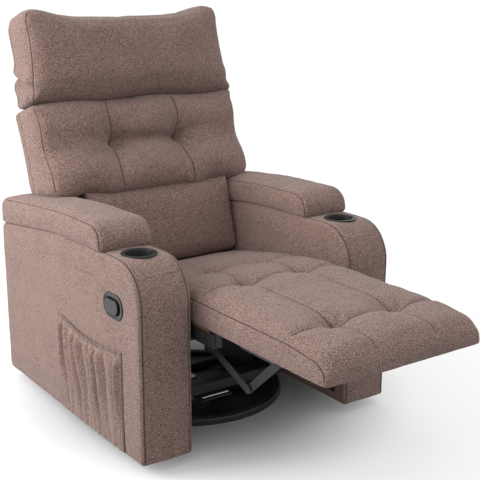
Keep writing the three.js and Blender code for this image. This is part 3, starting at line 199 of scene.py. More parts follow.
class Graph:
    """Nodes of one material, with its shader and its output."""

    def __init__(self, name: str) -> None:
        """Make an empty material with a Principled shader.

        Args:
            name: Name of the material.
        """
        self.material = bpy.data.materials.new(name)
        self.material.use_nodes = True
        self.tree = self.material.node_tree
        self.tree.nodes.clear()
        self.shader = self.raw("ShaderNodeBsdfPrincipled")
        output = self.raw("ShaderNodeOutputMaterial")
        self.tree.links.new(self.shader.outputs["BSDF"], output.inputs["Surface"])

    def raw(
        self,
        kind: str,
        settings: dict[str, object] | None = None,
        inputs: dict[str | int, object] | None = None,
    ) -> bpy.types.Node:
        """Add any node.

        Args:
            kind: The node's type name.
            settings: Its properties, set first; "stops" fills a colour ramp.
            inputs: Values or links of its sockets, by name or index.

        Returns:
            The new node.
        """
        node = self.tree.nodes.new(kind)
        for key, value in (settings or {}).items():
            if key == "stops":
                self._fill_ramp(node, value)
            else:
                setattr(node, key, value)
        for key, value in (inputs or {}).items():
            if isinstance(value, Socket):
                self.tree.links.new(value.socket, node.inputs[key])
            else:
                node.inputs[key].default_value = value
        return node

    def add(
        self,
        kind: str,
        settings: dict[str, object] | None = None,
        inputs: dict[str | int, object] | None = None,
        output: str | int = 0,
    ) -> Socket:
        """Add any node and wrap one of its outputs.

        Args:
            kind: The node's type name.
            settings: Its properties.
            inputs: Values or links of its sockets.
            output: Name or index of the output that is wanted.

        Returns:
            The wrapped output.
        """
        return Socket(self, self.raw(kind, settings, inputs).outputs[output])

    def shade(self, **inputs: object) -> None:
        """Set inputs of the Principled shader; an underscore stands for a space in a name.

        Args:
            inputs: Values or sockets, by name.
        """
        for key, value in inputs.items():
            socket = self.shader.inputs[key.replace("_", " ")]
            if isinstance(value, Socket):
                self.tree.links.new(value.socket, socket)
            else:
                socket.default_value = value

    def place(self) -> Socket:
        """Coordinates in metres."""
        return self.add("ShaderNodeTexCoord", None, None, "Object")

    def drawn(self, place: Socket, stretch: float) -> Socket:
        """Coordinates that draw a pattern out along X."""
        inputs = {"Vector": place, "Scale": (stretch, 1.0, 1.0)}
        return self.add("ShaderNodeMapping", None, inputs)

    def grain(self, place: Socket, size: float, detail: float = 2.0, rough: float = 0.5) -> Socket:
        """Even cloudy pattern.

        Args:
            place: Coordinates in metres.
            size: Width of one cloud in metres.
            detail: How many finer layers it has.
            rough: How strong the finer layers are.

        Returns:
            A value around a half.
        """
        inputs = {"Vector": place, "Scale": 1 / size, "Detail": detail, "Roughness": rough}
        return self.add("ShaderNodeTexNoise", None, inputs, "Fac")

    def cells(self, place: Socket, size: float, soft: float = 0.4) -> Socket:
        """Rounded cells, 0 at their middles.

        Args:
            place: Coordinates in metres.
            size: Width of one cell in metres.
            soft: How smoothly cells meet.

        Returns:
            Distance to the nearest cell middle, as a share of the cell.
        """
        inputs = {"Vector": place, "Scale": 1 / size, "Smoothness": soft, "Randomness": 0.9}
        return self.add("ShaderNodeTexVoronoi", {"feature": "SMOOTH_F1"}, inputs, "Distance")

    def blend(self, share: Socket | float, first: object, second: object) -> Socket:
        """Mix two colours.

        Args:
            share: How much of the second colour shows.
            first: A colour or a socket.
            second: A colour or a socket.

        Returns:
            The mixed colour.
        """
        colours = {6: rgba(first), 7: rgba(second)}
        return self.add("ShaderNodeMix", {"data_type": "RGBA"}, {0: share, **colours}, 2)

    def ramp(self, value: Socket, stops: Sequence[tuple[float, object]]) -> Socket:
        """Turn a value into a colour through a few stops.

        Args:
            value: What picks the colour.
            stops: Pairs of a value and a colour.

        Returns:
            The colour.
        """
        return self.add("ShaderNodeValToRGB", {"stops": stops}, {0: value}, "Color")

    def relief(self, height: Socket, depth: float, strength: float = 1.0) -> Socket:
        """Normal of a surface with fine relief.

        Args:
            height: Height, from 0 to 1.
            depth: Depth of the relief in metres.
            strength: How much of it shows.

        Returns:
            The normal.
        """
        inputs = {"Height": height, "Distance": depth, "Strength": strength}
        return self.add("ShaderNodeBump", None, inputs, "Normal")

    @staticmethod
    def _fill_ramp(node: bpy.types.Node, stops: Sequence[tuple[float, object]]) -> None:
        """Give a colour ramp its stops.

        Args:
            node: The colour ramp.
            stops: Pairs of a value and a colour.
        """
        elements = node.color_ramp.elements
        while len(elements) < len(stops):
            elements.new(0.5)
        for element, (place, colour) in zip(elements, stops):
            element.position = place
            element.color = rgba(colour)


def rgba(colour: object) -> object:
    """Give a colour its alpha; a socket stays as it is."""
    return colour if isinstance(colour, Socket) else (*colour, 1.0)


def linear(red: int, green: int, blue: int) -> Colour:
    """Turn a screen colour from 0 to 255 into a linear one.

    Args:
        red: Its red.
        green: Its green.
        blue: Its blue.

    Returns:
        The linear colour.
    """

    def channel(value: int) -> float:
        """One channel of the colour."""
        share = value / 255
        return share / 12.92 if share <= 0.04045 else ((share + 0.055) / 1.055) ** 2.4

    return channel(red), channel(green), channel(blue)


@dataclass(frozen=True)
class HeatherCloth:
    """Mauve-brown looped cloth with paler and darker yarns mixed in, and painted shade along its sewn
    lines.
    """

    name: str = "heather_cloth"
    dark: Colour = linear(80, 60, 54)
    middle: Colour = linear(129, 103, 95)
    pale: Colour = linear(180, 154, 144)
    # Colour of the painted shade along the sewn lines, on top of their drawn-in grooves.
    line: Colour = linear(50, 38, 34)
    loop_size: float = 0.0023
    yarn_size: float = 0.0015
    fleck_size: float = 0.0012
    cloud_size: float = 0.09
    relief: float = 0.0014
    yarn_share: float = 0.62
    fleck_share: float = 0.35
    cloud_share: float = 0.03
    loop_share: float = 0.30
    loop_level_share: float = 0.45
    tone_shares: tuple[float, float, float] = (0.39, 0.5, 0.62)
    # How strongly a sewn line's share turns into painted shade, and how much of that painted shade
    # shows.
    seam_gain_share: float = 1.25
    seam_dark_share: float = 0.9
    height_shares: tuple[float, float, float] = (0.6, 0.4, 0.5)

    def build(self) -> bpy.types.Material:
        """Make the material.

        Returns:
            The material, which reads each mesh's place and sewn-line attributes.
        """
        graph = Graph(self.name)
        place = graph.add("ShaderNodeAttribute", {"attribute_name": PLACE_ATTRIBUTE}, None, "Vector")
        line = graph.add("ShaderNodeAttribute", {"attribute_name": SEAM_ATTRIBUTE}, None, "Fac")
        loops = graph.cells(place, self.loop_size)
        yarn = graph.grain(place, self.yarn_size, 1.0, 0.6)
        flecks = graph.grain(place, self.fleck_size, 1.0)
        clouds = graph.grain(place, self.cloud_size, 2.0)
        tone = yarn * self.yarn_share + flecks * self.fleck_share + clouds * self.cloud_share
        tone = tone + (self.loop_level_share - loops) * self.loop_share
        cloth = graph.ramp(tone, tuple(zip(self.tone_shares, (self.dark, self.middle, self.pale))))
        # Painted shade along the sewn lines, darkening the cloth in their grooves.
        shadow = (line * self.seam_gain_share).clamped() * self.seam_dark_share
        raised, woven, sunk = self.height_shares
        height = (1 - loops) * raised + yarn * woven - line * sunk
        graph.shade(
            Base_Color=graph.blend(shadow, cloth, self.line),
            Roughness=0.92,
            Specular_IOR_Level=0.25,
            Sheen_Weight=0.12,
            Sheen_Roughness=0.6,
            Normal=graph.relief(height, self.relief, 0.8),
        )
        return graph.material


@dataclass(frozen=True)
class Thread:
    """Twisted sewing thread."""

    name: str = "sewing_thread"
    colour: Colour = linear(132, 108, 100)
    twist: float = 0.0008
    shade_share: float = 0.6

    def build(self) -> bpy.types.Material:
        """Make the material.

        Returns:
            The material.
        """
        graph = Graph(self.name)
        place = graph.place()
        ply = graph.grain(place, self.twist, 1.0)
        shade = tuple(self.shade_share * part for part in self.colour)
        graph.shade(
            Base_Color=graph.blend(ply, shade, self.colour),
            Roughness=0.7,
            Normal=graph.relief(ply, self.twist / 4),
        )
        return graph.material


@dataclass(frozen=True)
class PaintedMetal:
    """Satin powder coat over steel, a little dusty and rubbed."""

    name: str = "powder_coat"
    colour: Colour = (0.020, 0.020, 0.021)
    dust: Colour = (0.05, 0.048, 0.046)
    grain_size: float = 0.0016
    patch_size: float = 0.12
    dust_level_share: float = 0.52
    dust_gain_share: float = 3.0
    dust_share: float = 0.5

    def build(self) -> bpy.types.Material:
        """Make the material.

        Returns:
            The material.
        """
        graph = Graph(self.name)
        place = graph.place()
        peel = graph.grain(place, self.grain_size, 1.0)
        patch = graph.grain(place, self.patch_size, 5.0, 0.6)
        dusty = ((patch - self.dust_level_share) * self.dust_gain_share).clamped() * self.dust_share
        graph.shade(
            Base_Color=graph.blend(dusty, self.colour, self.dust),
            Roughness=patch * 0.25 + 0.36,
            Metallic=0.0,
            Specular_IOR_Level=0.4,
            Normal=graph.relief(peel, self.grain_size / 8, 0.35),
        )
        return graph.material


@dataclass(frozen=True)
class BrightMetal:
    """Zinc-plated steel with drawn scratches."""

    name: str = "bright_zinc"
    colour: Colour = (0.62, 0.62, 0.61)
    scratch: float = 0.0006
    stretch: float = 0.03
    shade_share: float = 0.75

    def build(self) -> bpy.types.Material:
        """Make the material.

        Returns:
            The material.
        """
        graph = Graph(self.name)
        place = graph.place()
        drawn = graph.drawn(place, self.stretch)
        lines = graph.grain(drawn, self.scratch, 3.0, 0.6)
        shade = tuple(self.shade_share * part for part in self.colour)
        graph.shade(
            Base_Color=graph.blend(lines, shade, self.colour),
            Metallic=1.0,
            Roughness=lines * 0.25 + 0.14,
            Normal=graph.relief(lines, self.scratch / 6, 0.4),
        )
        return graph.material


@dataclass(frozen=True)
class MouldedPlastic:
    """Satin black plastic with a fine moulded grain."""

    name: str = "moulded_plastic"
    colour: Colour = (0.017, 0.018, 0.019)
    worn: Colour = (0.030, 0.031, 0.033)
    grain_size: float = 0.0009
    patch_size: float = 0.02

    def build(self) -> bpy.types.Material:
        """Make the material.

        Returns:
            The material.
        """
        graph = Graph(self.name)
        place = graph.place()
        pebble = graph.cells(place, self.grain_size)
        patch = graph.grain(place, self.patch_size, 3.0)
        graph.shade(
            Base_Color=graph.blend(patch, self.colour, self.worn),
            Roughness=patch * 0.2 + 0.26,
            Specular_IOR_Level=0.24,
            Normal=graph.relief(pebble, self.grain_size / 10, 0.5),
        )
        return graph.material


@dataclass(frozen=True)
class BirchPly:
    """Raw birch plywood with long grain."""

    name: str = "birch_ply"
    pale: Colour = linear(104, 82, 60)
    dark: Colour = linear(70, 52, 38)
    grain_size: float = 0.004
    stretch: float = 0.06
    line_share: float = 0.7
    tone_shares: tuple[float, float] = (0.32, 0.62)

    def build(self) -> bpy.types.Material:
        """Make the material.

        Returns:
            The material.
        """
        graph = Graph(self.name)
        place = graph.place()
        drawn = graph.drawn(place, self.stretch)
        lines = graph.grain(drawn, self.grain_size, 5.0, 0.65)
        clouds = graph.grain(place, self.grain_size / self.stretch, 2.0)
        tone = lines * self.line_share + clouds * (1 - self.line_share)
        graph.shade(
            Base_Color=graph.ramp(tone, tuple(zip(self.tone_shares, (self.dark, self.pale)))),
            Roughness=0.62,
            Normal=graph.relief(lines, self.grain_size / 12, 0.4),
        )
        return graph.material


class Finishes:
    """Every finish of the chair, built once."""

    def __init__(self) -> None:
        """Build the materials."""
        self.cloth = HeatherCloth().build()
        self.thread = Thread().build()
        self.by_slot = {
            Slot.UPHOLSTERY: self.cloth,
            Slot.BLACK_STEEL: PaintedMetal().build(),
            Slot.BRIGHT_STEEL: BrightMetal().build(),
            Slot.BLACK_PLASTIC: MouldedPlastic().build(),
            Slot.TIMBER: BirchPly().build(),
        }


class Track(Enum):
    """What stays constant along a sewn line: one coordinate, or the distance from a panel's outline."""

    X = 0
    Y = 1
    Z = 2
    RING = 3


@dataclass(frozen=True)
class SewnLine:
    """A sewn line on a block.

    Attributes:
        track: What is constant along the line.
        place: Its value there.
        on: Which flat points of that track lie on the line.
        depth: How deep the seam is drawn in.
        rows: On which sides of the line a row of stitches runs.
        tone: How much painted shade the seam's groove gets in the cloth's colour.
    """

    track: Track
    place: float
    on: Mask
    depth: float = 0.003
    rows: tuple[int, ...] = (1,)
    # Share of painted shade in the groove's colour.
    tone: float = 1.0


@dataclass(frozen=True)
class Rim:
    """Radius of the rounded edge round one panel, by the side of the strip that it meets."""

    low_first: float
    high_first: float
    low_second: float
    high_second: float

    @classmethod
    def even(cls, radius: float) -> Rim:
        """The same radius all round."""
        return cls(radius, radius, radius, radius)

    @property
    def radii(self) -> np.ndarray:
        """The four radii in order."""
        return np.array((self.low_first, self.high_first, self.low_second, self.high_second))


@dataclass
class SoftBlock:
    """A padded form: a cut block whose edges and corners are rounded, then shaped by a formula.

    Attributes:
        low: Lowest corner of the flat block.
        high: Highest corner of the flat block.
        face_axis: Axis that the two panels face along; the strip runs round between them.
        rim_low: Rounding between the strip and the lower panel.
        rim_high: Rounding between the strip and the higher panel.
        corners: Radius of each strip corner, by the signs of the two other axes.
        step: Usual distance between two cuts.
        groove: Distance from a sewn line to the cuts beside it.
        blend: Length over which one side's rounding turns into the next.
        round_steps: Number of cuts across each rounded edge.
        lines: The sewn lines.
    """

    low: Vector
    high: Vector
    face_axis: int
    rim_low: Rim
    rim_high: Rim
    corners: dict[tuple[int, int], float]
    step: float = 0.009
    groove: float = 0.002
    blend: float = 0.012
    round_steps: int = 3
    lines: list[SewnLine] = field(default_factory=list)

    def __post_init__(self) -> None:
        """Work out the block's middle, half size and strip axes."""
        self.middle = np.array((self.low + self.high) / 2)
        self.half = np.array((self.high - self.low) / 2)
        self.plan = [axis for axis in range(3) if axis != self.face_axis]

    def cuts(self, axis: int) -> list[float]:
        """Places where the block is cut across an axis.

        Args:
            axis: The axis.

        Returns:
            Sorted places, closest at rounded edges and at sewn lines.
        """
        low, high = self.low[axis], self.high[axis]
        if axis == self.face_axis:
            edges = (max(self.rim_low.radii), max(self.rim_high.radii))
        else:
            first = 2 * self.plan.index(axis)
            both = np.maximum(self.rim_low.radii, self.rim_high.radii)
            edges = (both[first], both[first + 1])
        fixed = {low, high}
        for share in range(self.round_steps + 1):
            turn = 1 - math.tan(math.pi / 4 * share / self.round_steps)
            fixed.add(low + edges[0] * turn)
            fixed.add(high - edges[1] * turn)
        if axis != self.face_axis:
            for signs, radius in self.corners.items():
                sign = signs[self.plan.index(axis)]
                fixed.add((high if sign > 0 else low) - sign * radius)
        for place in self._sewn(axis):
            clear = 3 / 2 * self.groove
            fixed = {mark for mark in fixed if abs(mark - place) > clear or mark in (low, high)}
            fixed.update((place - self.groove, place, place + self.groove))
        marks = sorted(mark for mark in fixed if low <= mark <= high)
        places = [low]
        for mark in marks[1:]:
            gap = mark - places[-1]
            if gap < self.groove / 3 and mark < high:
                continue
            parts = max(1, round(gap / self.step))
            start = places[-1]
            places.extend(start + gap * part / parts for part in range(1, parts + 1))
        return places[1:-1]

    def _sewn(self, axis: int) -> list[float]:
        """Where sewn lines need cuts across an axis.

        Args:
            axis: The axis.

        Returns:
            The places.
        """
        places = []
        for line in self.lines:
            if line.track.value == axis:
                places.append(line.place)
            elif line.track is Track.RING and axis != self.face_axis:
                places += [self.low[axis] + line.place, self.high[axis] - line.place]
        return places

    def cut_block(self) -> bmesh.types.BMesh:
        """Make the flat block and cut it.

        Returns:
            The cut block.
        """
        bm = bmesh.new()
        size = Matrix.Diagonal((*(self.high - self.low), 1.0))
        bmesh.ops.create_cube(bm, size=1.0, matrix=Matrix.Translation(Vector(self.middle)) @ size)
        for axis in range(3):
            for place in self.cuts(axis):
                bmesh.ops.bisect_plane(
                    bm,
                    geom=[*bm.verts, *bm.edges, *bm.faces],
                    dist=TINY,
                    plane_co=AXES[axis] * place,
                    plane_no=AXES[axis],
                )
        return bm

    def inset(self, flat: np.ndarray) -> np.ndarray:
        """Distance of flat points from the block's outline, seen along its face axis."""
        gaps = self.half[self.plan] - np.abs(flat[:, self.plan] - self.middle[self.plan])
        return gaps.min(axis=1)

    def shares(self, flat: np.ndarray) -> np.ndarray:
        """Flat points as shares from -1 to 1 of the block's half size."""
        return (flat - self.middle) / self.half

    def on_strip(self, flat: np.ndarray) -> np.ndarray:
        """Which flat points lie on the strip."""
        return self.inset(flat) < TINY

    def on_panel(self, flat: np.ndarray, side: int = 0) -> np.ndarray:
        """Which flat points lie on the panel at one side, or on either for 0.

        Args:
            flat: Points of the cut block.
            side: Sign of the side.

        Returns:
            A mask of the points.
        """
        level = flat[:, self.face_axis]
        high = np.abs(level - self.high[self.face_axis]) < TINY
        low = np.abs(level - self.low[self.face_axis]) < TINY
        return {1: high, -1: low, 0: high | low}[side]

    def rounded(self, flat: np.ndarray) -> np.ndarray:
        """Round the edges and corners.

        Args:
            flat: Points of the cut block.

        Returns:
            The same points on the rounded form.
        """
        i, j = self.plan
        k = self.face_axis
        point = flat - self.middle
        gaps = self.half[self.plan] - np.abs(point[:, self.plan])
        inset = gaps.min(axis=1)
        ring = inset.copy()
        rise = point[:, k].copy()
        for sign, rim in ((-1, self.rim_low), (1, self.rim_high)):
            radius = self._rim_radius(point, rim)
            under = self.half[k] - sign * point[:, k]
            near = (inset < radius - TINY) & (under < radius - TINY)
            across, up = radius - inset, radius - under
            reach = np.maximum(np.hypot(across, up), TINY)
            ring = np.where(near, radius * (1 - across / reach), ring)
            rise = np.where(near, sign * (self.half[k] - radius * (1 - up / reach)), rise)
        result = point.copy()
        result[:, k] = rise
        for column, axis in enumerate(self.plan):
            nearest = gaps[:, column] <= inset + TINY
            grown = (self.half[axis] - ring) / np.maximum(self.half[axis] - inset, TINY)
            rim = np.sign(point[:, axis]) * (self.half[axis] - ring)
            result[:, axis] = np.where(nearest, rim, point[:, axis] * grown)
        for (sign_i, sign_j), radius in self.corners.items():
            a = sign_i * result[:, i] - (self.half[i] - radius)
            b = sign_j * result[:, j] - (self.half[j] - radius)
            inside = (a > 0) & (b > 0)
            share = np.where(inside, np.maximum(a, b) / np.maximum(np.hypot(a, b), TINY), 1.0)
            result[:, i] = np.where(inside, sign_i * (self.half[i] - radius + a * share), result[:, i])
            result[:, j] = np.where(inside, sign_j * (self.half[j] - radius + b * share), result[:, j])
        return result + self.middle

    def _rim_radius(self, point: np.ndarray, rim: Rim) -> np.ndarray:
        """Radius of one panel's rounded edge at each point, blended softly from side to side.

        Args:
            point: Flat points, from the block's middle.
            rim: The panel's rounding.

        Returns:
            The radii.
        """
        i, j = self.plan
        sides = (
            self.half[i] + point[:, i],
            self.half[i] - point[:, i],
            self.half[j] + point[:, j],
            self.half[j] - point[:, j],
        )
        weights = np.exp(-np.stack(sides, axis=1) / self.blend) + TINY**3
        return (weights @ rim.radii) / weights.sum(axis=1)

    def line_mask(self, flat: np.ndarray, line: SewnLine, offset: float = 0.0) -> np.ndarray:
        """Which flat points lie on a sewn line, or on the cut at an offset beside it."""
        value = self.inset(flat) if line.track is Track.RING else flat[:, line.track.value]
        return (np.abs(value - line.place - offset) < TINY) & line.on(flat)


@dataclass(frozen=True)
class Swelling:
    """Air pressure that swells a piece of cloth over its padding.

    Attributes:
        pressure: Pressure of the simulation.
        slack: Share by which the cloth is larger than its form.
        cap: Farthest that a point may move.
        frames: Length of the simulation.
        stiffness: How much the cloth resists bending.
        quality: Steps of the simulation in each frame.
    """

    pressure: float = 4.0
    slack: float = 0.004
    cap: float = 0.012
    frames: int = 20
    stiffness: float = 6.0
    quality: int = 5

    def run(self, obj: bpy.types.Object, pinned: np.ndarray) -> None:
        """Simulate the cloth and keep the result in the mesh.

        Args:
            obj: The piece, whose mesh is changed.
            pinned: Which vertices are held still.
        """
        group = obj.vertex_groups.new(name="pins")
        group.add([int(index) for index in np.flatnonzero(pinned)], 1.0, "REPLACE")
        start = mesh_points(obj.data)
        modifier = obj.modifiers.new("swelling", "CLOTH")
        settings = modifier.settings
        settings.quality = self.quality
        settings.vertex_group_mass = group.name
        settings.use_pressure = True
        settings.uniform_pressure_force = self.pressure
        settings.shrink_min = -self.slack
        settings.bending_stiffness = self.stiffness
        settings.effector_weights.gravity = 0.0
        modifier.collision_settings.use_collision = False
        modifier.point_cache.frame_start = 1
        modifier.point_cache.frame_end = self.frames
        scene = bpy.context.scene
        for number in range(1, self.frames + 1):
            scene.frame_set(number)
        evaluated = obj.evaluated_get(bpy.context.evaluated_depsgraph_get())
        moved = mesh_points(evaluated.data) - start
        obj.modifiers.remove(modifier)
        scene.frame_set(1)
        reach = np.maximum(np.linalg.norm(moved, axis=1), TINY)
        moved *= np.minimum(1.0, self.cap / reach)[:, None]
        obj.data.vertices.foreach_set("co", (start + moved).astype(np.float32).ravel())
        obj.data.update()
        obj.vertex_groups.clear()
        LOG.info("%s swelled by up to %.1f mm", obj.name, 1000 * np.linalg.norm(moved, axis=1).max())


def mesh_points(mesh: bpy.types.Mesh) -> np.ndarray:
    """Vertices of a mesh, one row each.

    Args:
        mesh: The mesh.

    Returns:
        The points.
    """
    points = np.zeros(len(mesh.vertices) * 3, np.float32)
    mesh.vertices.foreach_get("co", points)
    return points.reshape(-1, 3).astype(float)


def mesh_normals(mesh: bpy.types.Mesh) -> np.ndarray:
    """Vertex normals of a mesh, one row each.

    Args:
        mesh: The mesh.

    Returns:
        The normals.
    """
    normals = np.zeros(len(mesh.vertices) * 3, np.float32)
    mesh.vertex_normals.foreach_get("vector", normals)
    return normals.reshape(-1, 3).astype(float)


def set_points(mesh: bpy.types.Mesh, points: np.ndarray) -> None:
    """Move the vertices of a mesh."""
    mesh.vertices.foreach_set("co", points.astype(np.float32).ravel())
    mesh.update()


def transformed(points: np.ndarray, matrix: Matrix) -> np.ndarray:
    """Points after a transform."""
    array = np.array(matrix)
    return points @ array[:3, :3].T + array[:3, 3]


def waviness(points: np.ndarray, size: float, seed: float) -> np.ndarray:
    """Smooth unevenness between -1 and 1 at each point.

    Args:
        points: Where it is wanted.
        size: Width of one wave.
        seed: Shift that makes pieces differ.

    Returns:
        One value for each point.
    """
    shift = Vector((seed, 2 * seed, 3 * seed))
    return np.array([noise.noise(Vector(point) / size + shift) for point in points])


def add_object(name: str, mesh: bpy.types.Mesh, material: bpy.types.Material) -> bpy.types.Object:
    """Link a mesh as an object with one material.

    Args:
        name: Name of the object.
        mesh: Its mesh.
        material: Its material.

    Returns:
        The object.
    """
    mesh.materials.clear()
    mesh.materials.append(material)
    mesh.shade_smooth()
    obj = bpy.data.objects.new(name, mesh)
    bpy.context.scene.collection.objects.link(obj)
    return obj


def mesh_of(name: str, bm: bmesh.types.BMesh) -> bpy.types.Mesh:
    """Turn a bmesh into a mesh and free it.

    Args:
        name: Name of the mesh.
        bm: What it is made from.

    Returns:
        The mesh.
    """
    mesh = bpy.data.meshes.new(name)
    bm.to_mesh(mesh)
    bm.free()
    return mesh


def flattened(obj: bpy.types.Object) -> None:
    """Apply every modifier of an object to its mesh.

    Args:
        obj: The object, which gets a new mesh.
    """
    evaluated = obj.evaluated_get(bpy.context.evaluated_depsgraph_get())
    mesh = bpy.data.meshes.new_from_object(evaluated)
    old = obj.data
    obj.modifiers.clear()
    obj.data = mesh
    bpy.data.meshes.remove(old)


def smoothed(obj: bpy.types.Object, levels: int = 1) -> None:
    """Add a Subdivision Surface.

    Args:
        obj: The object.
        levels: How often its faces are divided.
    """
    modifier = obj.modifiers.new("smooth", "SUBSURF")
    modifier.levels = levels
    modifier.render_levels = levels


def keep_place(obj: bpy.types.Object) -> None:
    """Store each vertex's place at rest, which the cloth's pattern follows."""
    attribute = obj.data.attributes.new(PLACE_ATTRIBUTE, "FLOAT_VECTOR", "POINT")
    attribute.data.foreach_set("vector", mesh_points(obj.data).astype(np.float32).ravel())


def keep_lines(obj: bpy.types.Object, shares: np.ndarray) -> None:
    """Store how much each vertex lies on a sewn line, which the cloth darkens with painted shade and
    sinks in its relief.
    """
    attribute = obj.data.attributes.new(SEAM_ATTRIBUTE, "FLOAT", "POINT")
    attribute.data.foreach_set("value", shares.astype(np.float32))


class Stitcher:
    """Rows of short stitches laid along sewn lines."""

    LENGTH = 0.0036
    PITCH = 0.0056
    RADIUS = 0.0005
    SINK = 0.0001

    def __init__(self, finish: bpy.types.Material) -> None:
        """Make the one stitch that is repeated.

        Args:
            finish: Material of the thread.
        """
        self.finish = finish
        bm = bmesh.new()
        size = Matrix.Diagonal((self.RADIUS, self.RADIUS, self.LENGTH / 2, 1.0))
        bmesh.ops.create_uvsphere(bm, u_segments=5, v_segments=4, radius=1.0, matrix=size)
        self.stitch = mesh_of("stitch", bm)

    @staticmethod
    def chains(mesh: bpy.types.Mesh, chosen: np.ndarray) -> list[list[int]]:
        """Put chosen vertices in order along the edges between them.

        Args:
            mesh: The mesh.
            chosen: Which vertices lie on the row.

        Returns:
            One list of vertex indices for each unbroken row.
        """
        links: dict[int, list[int]] = {int(index): [] for index in np.flatnonzero(chosen)}
        for edge in mesh.edges:
            a, b = edge.vertices
            if a in links and b in links:
                links[a].append(b)
                links[b].append(a)
        rows = []
        seen: set[int] = set()
        ends = [index for index, near in links.items() if len(near) == 1]
        for start in [*ends, *links]:
            if start in seen:
                continue
            row = [start]
            seen.add(start)
            while True:
                onward = [near for near in links[row[-1]] if near not in seen]
                if not onward:
                    break
                row.append(onward[0])
                seen.add(onward[0])
            if len(row) > 2:
                rows.append(row)
        return rows

    def sew(self, name: str, tracks: Iterable[tuple[np.ndarray, np.ndarray]]) -> bpy.types.Object:
        """Lay stitches along tracks.

        Args:
            name: Name of the new piece.
            tracks: Points along each row, with the surface normal at each.

        Returns:
            All the stitches as one piece.
        """
        bm = bmesh.new()
        for points, normals in tracks:
            steps = np.linalg.norm(np.diff(points, axis=0), axis=1)
            along = np.concatenate(([0.0], np.cumsum(steps)))
            for place in np.arange(self.PITCH, along[-1] - self.PITCH / 2, self.PITCH):
                self._lay(bm, points, normals, along, place)
        return add_object(name, mesh_of(name, bm), self.finish)

    def _lay(
        self,
        bm: bmesh.types.BMesh,
        points: np.ndarray,
        normals: np.ndarray,
        along: np.ndarray,
        place: float,
    ) -> None:
        """Lay one stitch at a distance along a row.

        Args:
            bm: The mesh that gets the stitch.
            points: Points along the row.
            normals: The surface normals there.
            along: Distances of the points along the row.
            place: Where the stitch lies.
        """
        ends = [self._at(points, along, place + step) for step in (-self.LENGTH / 2, self.LENGTH / 2)]
        normal = Vector(self._at(normals, along, place)).normalized()
        tangent = Vector(ends[1] - ends[0]).normalized()
        across = normal.cross(tangent).normalized()
        centre = Vector((ends[0] + ends[1]) / 2) - normal * self.SINK
        turn = Matrix((across, normal, tangent)).transposed().to_4x4()
        copy = self.stitch.copy()
        copy.transform(Matrix.Translation(centre) @ turn)
        bm.from_mesh(copy)
        bpy.data.meshes.remove(copy)

    @staticmethod
    def _at(values: np.ndarray, along: np.ndarray, place: float) -> np.ndarray:
        """Interpolate rows of values at a distance along a row."""
        return np.array([np.interp(place, along, values[:, axis]) for axis in range(3)])


@dataclass
class Upholsterer:
    """Turns soft blocks into finished pieces of cloth."""

    finishes: Finishes
    stitcher: Stitcher
    broad_wave: float = 0.07
    fine_wave: float = 0.028
    fine_share: float = 0.5
    fine_seed: float = 5.0

    def cover(
        self,
        name: str,
        block: SoftBlock,
        sculpt: Callable[[np.ndarray, np.ndarray], np.ndarray],
        place: Matrix | None = None,
        swelling: Swelling | None = None,
        pins: Mask | None = None,
        uneven: float = 0.0012,
        seed: float = 0.0,
    ) -> bpy.types.Object:
        """Build one upholstered piece.

        Args:
            name: Name of the piece.
            block: Its form and sewn lines.
            sculpt: Gives the shaped points from the flat points and the rounded ones.
            place: Where the block's own coordinates lie in the chair.
            swelling: Cloth simulation, if the piece gets one.
            pins: Which flat points the simulation holds still, besides sewn lines.
            uneven: Depth of the cloth's unevenness.
            seed: What makes the unevenness differ between pieces.

        Returns:
            The piece, with its stitches as its child.
        """
        mesh = mesh_of(name, block.cut_block())
        flat = mesh_points(mesh)
        set_points(mesh, sculpt(flat, block.rounded(flat)))
        obj = add_object(name, mesh, self.finishes.cloth)
        sewn = np.zeros(len(flat))
        depth = np.zeros(len(flat))
        # Each line's tone sets the painted shade of its groove, and its depth draws the groove in.
        for line in block.lines:
            chosen = block.line_mask(flat, line)
            sewn[chosen] = np.maximum(sewn[chosen], line.tone)
            depth[chosen] = np.maximum(depth[chosen], line.depth)
        if swelling is not None:
            held = depth > 0
            if pins is not None:
                held |= pins(flat)
            swelling.run(obj, held)
        points = mesh_points(mesh)
        wave = waviness(points, self.broad_wave, seed)
        wave += self.fine_share * waviness(points, self.fine_wave, seed + self.fine_seed)
        points += mesh_normals(mesh) * (uneven * wave - depth)[:, None]
        if place is not None:
            points = transformed(points, place)
        set_points(mesh, points)
        keep_lines(obj, sewn)
        smoothed(obj)
        tracks = self._tracks(mesh, block, flat)
        if tracks:
            thread = self.stitcher.sew(f"{name}_stitches", tracks)
            thread.parent = obj
        return obj

    def _tracks(
        self, mesh: bpy.types.Mesh, block: SoftBlock, flat: np.ndarray
    ) -> list[tuple[np.ndarray, np.ndarray]]:
        """Rows of points beside the sewn lines, where stitches run.

        Args:
            mesh: The piece's mesh.
            block: Its block.
            flat: Points of the cut block.

        Returns:
            Points and normals of each row.
        """
        points, normals = mesh_points(mesh), mesh_normals(mesh)
        tracks = []
        for line in block.lines:
            for side in line.rows:
                chosen = block.line_mask(flat, line, side * block.groove)
                for chain in self.stitcher.chains(mesh, chosen):
                    tracks.append((points[chain], normals[chain]))
        return tracks


def settle(piece: bpy.types.Object, body: str, *nodes: str, slot: Slot = Slot.UPHOLSTERY) -> None:
    """Fix a finished piece to its body, in place of solids of the frame.

    Args:
        piece: The piece.
        body: The body that it rides on.
        nodes: The nodes that it stands for.
        slot: Not used.
    """
    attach(piece, body)
    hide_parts(*nodes)
    LOG.info("made %s on %s", piece.name, body)


def ramp(value: np.ndarray, start: float, end: float) -> np.ndarray:
    """Soft step from 0 to 1 between two values."""
    share = np.clip((value - start) / (end - start), 0, 1)
    return share * share * (3 - 2 * share)


def four_corners(low: float, high: float) -> dict[tuple[int, int], float]:
    """Corner radii of a strip that are alike at both ends of its first axis."""
    return {(-1, -1): low, (1, -1): low, (1, 1): high, (-1, 1): high}


